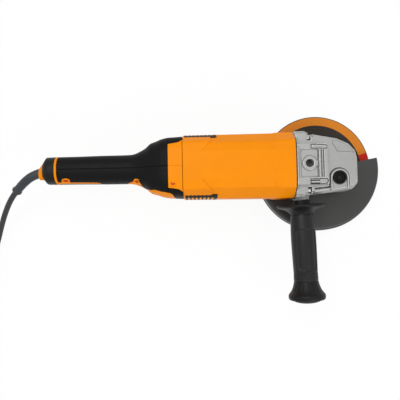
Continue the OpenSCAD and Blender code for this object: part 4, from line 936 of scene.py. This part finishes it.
def case_outline(inset):
    """Outline of the gear head from above, drawn in by inset, less at the rear and the sides."""
    rear, side = max(inset, -0.8 * inset), max(inset, 0.3 * inset)
    return rounded([
        (-60, -50.4 + rear), (-44, -49.6 + rear), (-40, -47.2 + rear), (31 - 0.6 * inset, -38 + side),
        (38.7 - inset, -29), (38.7 - inset, 8), (36 - inset, 19.5 - 0.3 * inset),
        (26 - 0.8 * inset, 30.5 - 0.7 * inset), (8, 38.8 - side), (-35, 45.6 - rear), (-40, 50.8 - rear),
        (-60, 50.8 - rear),
    ], [0.5, 2, 2, 8, 8, 8, 6, 6, 6, 2, 2, 0.5], 5)


def prism(outline, z0, z1, outline_top):
    """Closed mesh between two outlines of equal length."""
    n = len(outline)
    verts = [(x, y, z0) for x, y in outline] + [(x, y, z1) for x, y in outline_top]
    faces = [tuple(reversed(range(n))), tuple(range(n, 2 * n))]
    faces += [(i, (i + 1) % n, n + (i + 1) % n, n + i) for i in range(n)]
    return verts, faces


def cast_body(name, node, extra, voxel, shape=None, material=CAST):
    """The CAD solid with more solids joined on, its edges rounded as cast, its face worked by shape."""
    source = NODES[node].data
    verts = [tuple(v.co[k] / MM for k in range(3)) for v in source.vertices]
    faces = [tuple(p.vertices) for p in source.polygons]
    for more_verts, more_faces in extra:
        start = len(verts)
        verts += more_verts
        faces += [tuple(start + i for i in f) for f in more_faces]
    obj = mesh_piece(name, verts, faces, [material])
    bm = bmesh.new()
    bm.from_mesh(obj.data)
    bmesh.ops.remove_doubles(bm, verts=bm.verts, dist=2e-6)
    bmesh.ops.triangulate(bm, faces=bm.faces)
    bm.to_mesh(obj.data)
    bm.free()
    remesh = obj.modifiers.new("cast", "REMESH")
    remesh.mode = "VOXEL"
    remesh.voxel_size = voxel * MM
    remesh.use_smooth_shade = True
    soften = obj.modifiers.new("soften", "SMOOTH")
    soften.factor = 0.5
    soften.iterations = 3
    graph = bpy.context.evaluated_depsgraph_get()
    made = bpy.data.meshes.new_from_object(obj.evaluated_get(graph))
    obj.modifiers.clear()
    obj.data = made
    made.materials.clear()
    made.materials.append(material)
    if shape:
        n = len(made.vertices)
        co = np.empty(n * 3)
        made.vertices.foreach_get("co", co)
        normals = np.empty(n * 3)
        made.vertices.foreach_get("normal", normals)
        co = co.reshape(n, 3) / MM
        normals = normals.reshape(n, 3)
        co = shape(co, normals)
        made.vertices.foreach_set("co", (co * MM).ravel())
        made.update()
    made.polygons.foreach_set("use_smooth", [True] * len(made.polygons))
    add(obj, "body", node, slot="cast_aluminium")


def segment_distance(x, y, a, b):
    ax, ay, bx, by = *a, *b
    dx, dy = bx - ax, by - ay
    t = np.clip(((x - ax) * dx + (y - ay) * dy) / (dx * dx + dy * dy), 0, 1)
    return np.hypot(x - ax - t * dx, y - ay - t * dy)


def line_groove(x, y, points, half, depth):
    """How far a groove along a line lowers each point."""
    d = np.min([segment_distance(x, y, a, b) for a, b in zip(points, points[1:])], axis=0)
    return depth * smoothstep(half + 0.45, half - 0.25, d)


def pocket(x, y, polygon, depth, edge=0.5):
    """How far a pocket with this outline lowers each point."""
    inside = np.zeros(len(x), bool)
    n = len(polygon)
    for i in range(n):
        (ax, ay), (bx, by) = polygon[i], polygon[(i + 1) % n]
        cross = ((ay > y) != (by > y)) & (x < (bx - ax) * (y - ay) / (by - ay + 1e-12) + ax)
        inside ^= cross
    d = np.min([segment_distance(x, y, polygon[i], polygon[(i + 1) % n]) for i in range(n)], axis=0)
    signed = np.where(inside, d, -d)
    return depth * smoothstep(-edge, edge, signed)


def box_points(x0, x1, y0, y1):
    return [(x0, y0), (x1, y0), (x1, y1), (x0, y1)]


def case_face(co, normals):
    """Cast marks on the upper side: back lowers the raised block, nose the part before it."""
    x, y, z = co[:, 0], co[:, 1], co[:, 2]
    up = smoothstep(0.55, 0.8, normals[:, 2])
    down = np.zeros(len(x))
    back = smoothstep(119.0, 120.2, z)
    nose = smoothstep(110.4, 111.4, z) * smoothstep(114.0, 113.2, z)
    # shallow pocket on the nose
    dip = [(0.1, 30.1), (7.2, 17.7), (27.8, 16.4), (33.4, 15.6), (31.5, 20), (25, 27), (18, 32), (1, 36.5)]
    down += nose * pocket(x, y, dip, 1.7)
    # ribs in front of the top handle hole
    for x0, x1 in ((-24.4, -22.8), (-19.6, -18.2), (-16.7, -15.3)):
        down += back * pocket(x, y, box_points(x0, x1, -21, 20), 2.6, 0.4)
    # upper bar, tapered towards the nose
    bar = [(-34, 22.2), (-12, 21.6), (-9.6, 24), (-12, 26.9), (-34, 28), (-34, 22.2)]
    down += back * line_groove(x, y, bar, 0.55, 2.2)
    down += back * line_groove(x, y, [(-31, 25.2), (-15, 24.4)], 0.35, 0.9)
    # lower bar with its slots
    bar = [(-35.5, -23.4), (-12, -23.4), (-9.4, -26), (-12, -30.6), (-35.5, -31), (-35.5, -23.4)]
    down += back * line_groove(x, y, bar, 0.55, 2.2)
    down += back * line_groove(x, y, [(-35, -25.6), (-22.5, -25.6)], 0.8, 5.0)
    down += back * line_groove(x, y, [(-35, -30.2), (-22.5, -30.2)], 0.8, 5.0)
    # ring round the top handle hole
    r = np.hypot(x - TOP_HOLE_X, y)
    down += back * 1.5 * smoothstep(1.1, 0.4, np.abs(r - 11.2)) * smoothstep(-34, -40, x)
    # groove round the collar of the lock button, and the step below it along the lower edge
    around = np.hypot(x - LOCK[0], np.maximum(y - LOCK[1], 0))
    down += nose * 2.0 * smoothstep(0.9, 0.3, np.abs(around - 14.6)) * smoothstep(-37, -34, y)
    down += nose * line_groove(x, y, [(-27, -37.6), (-6, -35.6)], 1.0, 4.0)
    co[:, 2] = z - down * up
    # root that the housing covers, with an open joint in front of it
    tuck = 1 - 0.075 * smoothstep(-54.9, -55.7, x)
    co[:, 1] = y * tuck
    co[:, 2] = MOTOR_Z + (co[:, 2] - MOTOR_Z) * tuck
    return co


# the nose widens downwards: (height, inset) of each tier
CASE_TIERS = [(58, -5.5), (92, -2.8), (104, 0), (108, 2), (112, 4.5)]


def nose_outline(inset):
    return [(max(x, -28.5), y) for x, y in case_outline(inset)]


case_extra = [prism(nose_outline(in0), z0, z1, nose_outline(in1))
              for (z0, in0), (z1, in1) in zip(CASE_TIERS, CASE_TIERS[1:])]
cast_body("cast_case", "gear_case", case_extra, 0.6, case_face)
cast_body("cast_cover", "bearing_cover", [], 0.7, material=CAST_RAW)
# dark steel liner in the top handle hole: painted shade standing in for the dark depth of the bore
bore = [(0.0, 106.5), (6.2, 106.5), (6.35, 107), (6.35, 119.2), (6.2, 119.6)]
top_hole_shade = lathe_at("top_hole_shade_liner", bore, lambda p: (TOP_HOLE_X + p[0], p[1], p[2]), 48, STEEL_DARK)
add(top_hole_shade, "body", slot="dark_steel")

# ------------ lock button

button = [
    (0.0, 114.6), (2.2, 114.7), (3.0, 114.5), (3.4, 113.6), (3.9, 113.5), (4.6, 114.3), (5.4, 115.3),
    (5.9, 115.4), (6.3, 115.0), (6.6, 113.9), (7.2, 113.7), (7.8, 114.6), (8.3, 115.5), (9.0, 115.7),
    (9.6, 115.3), (9.9, 114.4), (9.95, 113), (9.95, 111.6), (9.7, 111.3), (0.0, 111.3),
]
cap = lathe_at("lock_cap", button, lambda p: (LOCK[0] + p[0], LOCK[1] + p[1], p[2]), 72, BLACK)
add(cap, "lock", "lock_button", slot="black_plastic")

# ------------ materials for the CAD pieces that stay

FINISH = {
    STEEL: ["case_screws", "cover_screws", "lower_bearing", "upper_bearing", "spindle", "crown_gear",
            "inner_flange", "lock_pin", "lock_spring", "front_bearing", "rear_bearing", "armature_shaft",
            "pinion", "pinion_nut", "brush_spring_upper", "brush_spring_lower", "trigger_spring",
            "side_handle_stud", "plug_pins"],
    STEEL_DARK: ["clamp_nut", "handle_screws"],
    ZINC: ["guard_band", "guard_screw"],
    CAST_RAW: ["bearing_plate"],
    LAMINATED: ["armature_core", "stator_core"],
    COPPER: ["armature_windings", "commutator", "field_coils"],
    PALE: ["fan", "switch_plunger"],
    BLACK: ["air_baffle", "brush_holders", "cord_clamp", "switch_body", "trigger", "spindle_seal"],
    CARBON: ["brush_upper", "brush_lower"],
    RED: ["lock_off_lever"],
    CORD_RUBBER: ["plug_body"],
}
for material, names in FINISH.items():
    for name in names:
        NODES[name].data.materials.clear()
        NODES[name].data.materials.append(material)

# ------------ light and floor

world = bpy.data.worlds.new("world")
SCENE.world = world
world.use_nodes = True
tree = world.node_tree
tree.nodes.clear()
w_out = tree.nodes.new("ShaderNodeOutputWorld")
w_light, w_seen = (tree.nodes.new("ShaderNodeBackground") for _ in range(2))
w_light.inputs[1].default_value = 0.62
w_seen.inputs[1].default_value = 1.0
for node in (w_light, w_seen):
    node.inputs[0].default_value = (1, 1, 1, 1)
# camera, glossy and transmission rays see the white background
w_path = tree.nodes.new("ShaderNodeLightPath")
w_any, w_all = (tree.nodes.new("ShaderNodeMath") for _ in range(2))
w_any.operation = w_all.operation = "MAXIMUM"
w_mix = tree.nodes.new("ShaderNodeMixShader")
tree.links.new(w_path.outputs["Is Camera Ray"], w_any.inputs[0])
tree.links.new(w_path.outputs["Is Glossy Ray"], w_any.inputs[1])
tree.links.new(w_any.outputs[0], w_all.inputs[0])
tree.links.new(w_path.outputs["Is Transmission Ray"], w_all.inputs[1])
tree.links.new(w_all.outputs[0], w_mix.inputs[0])
tree.links.new(w_light.outputs[0], w_mix.inputs[1])
tree.links.new(w_seen.outputs[0], w_mix.inputs[2])
tree.links.new(w_mix.outputs[0], w_out.inputs[0])


def area(name, place, aim, size, power):
    data = bpy.data.lights.new(name, "AREA")
    data.shape = "RECTANGLE"
    data.size, data.size_y = size
    data.energy = power
    lamp = link(bpy.data.objects.new(name, data))
    lamp.location = place
    lamp.rotation_euler = (Vector(aim) - Vector(place)).to_track_quat("-Z", "Y").to_euler()


area("key", (-0.5, 0.35, 1.35), (-0.2, -0.02, 0.06), (0.9, 0.5), 7.2)
area("fill", (0.5, -0.9, 1.1), (-0.2, -0.05, 0.06), (0.8, 0.6), 5.4)

floor = Nodes("floor")
floor.tree.nodes.remove(floor.shader)
f_diffuse = floor.new("ShaderNodeBsdfDiffuse")
f_diffuse.inputs[0].default_value = (0.93, 0.93, 0.93, 1)
f_white = floor.new("ShaderNodeEmission")
f_white.inputs[0].default_value = (1, 1, 1, 1)
f_white.inputs[1].default_value = 1.0
f_path = floor.new("ShaderNodeLightPath")
f_mix = floor.new("ShaderNodeMixShader")
f_seen = floor.math("MAXIMUM", f_path.outputs["Is Camera Ray"], f_path.outputs["Is Glossy Ray"])
f_seen = floor.math("MAXIMUM", f_seen, f_path.outputs["Is Transmission Ray"])
floor.wire(floor.math("MULTIPLY", f_seen, 0.93), f_mix.inputs[0])
floor.wire(f_diffuse.outputs[0], f_mix.inputs[1])
floor.wire(f_white.outputs[0], f_mix.inputs[2])
floor.wire(f_mix.outputs[0], floor.out.inputs[0])
corners = [(4000 * x, 4000 * y, -1.2) for x, y in ((-1, -1), (1, -1), (1, 1), (-1, 1))]
ground = mesh_piece("ground", corners, [(0, 1, 2, 3)], [floor.material], smooth=False)
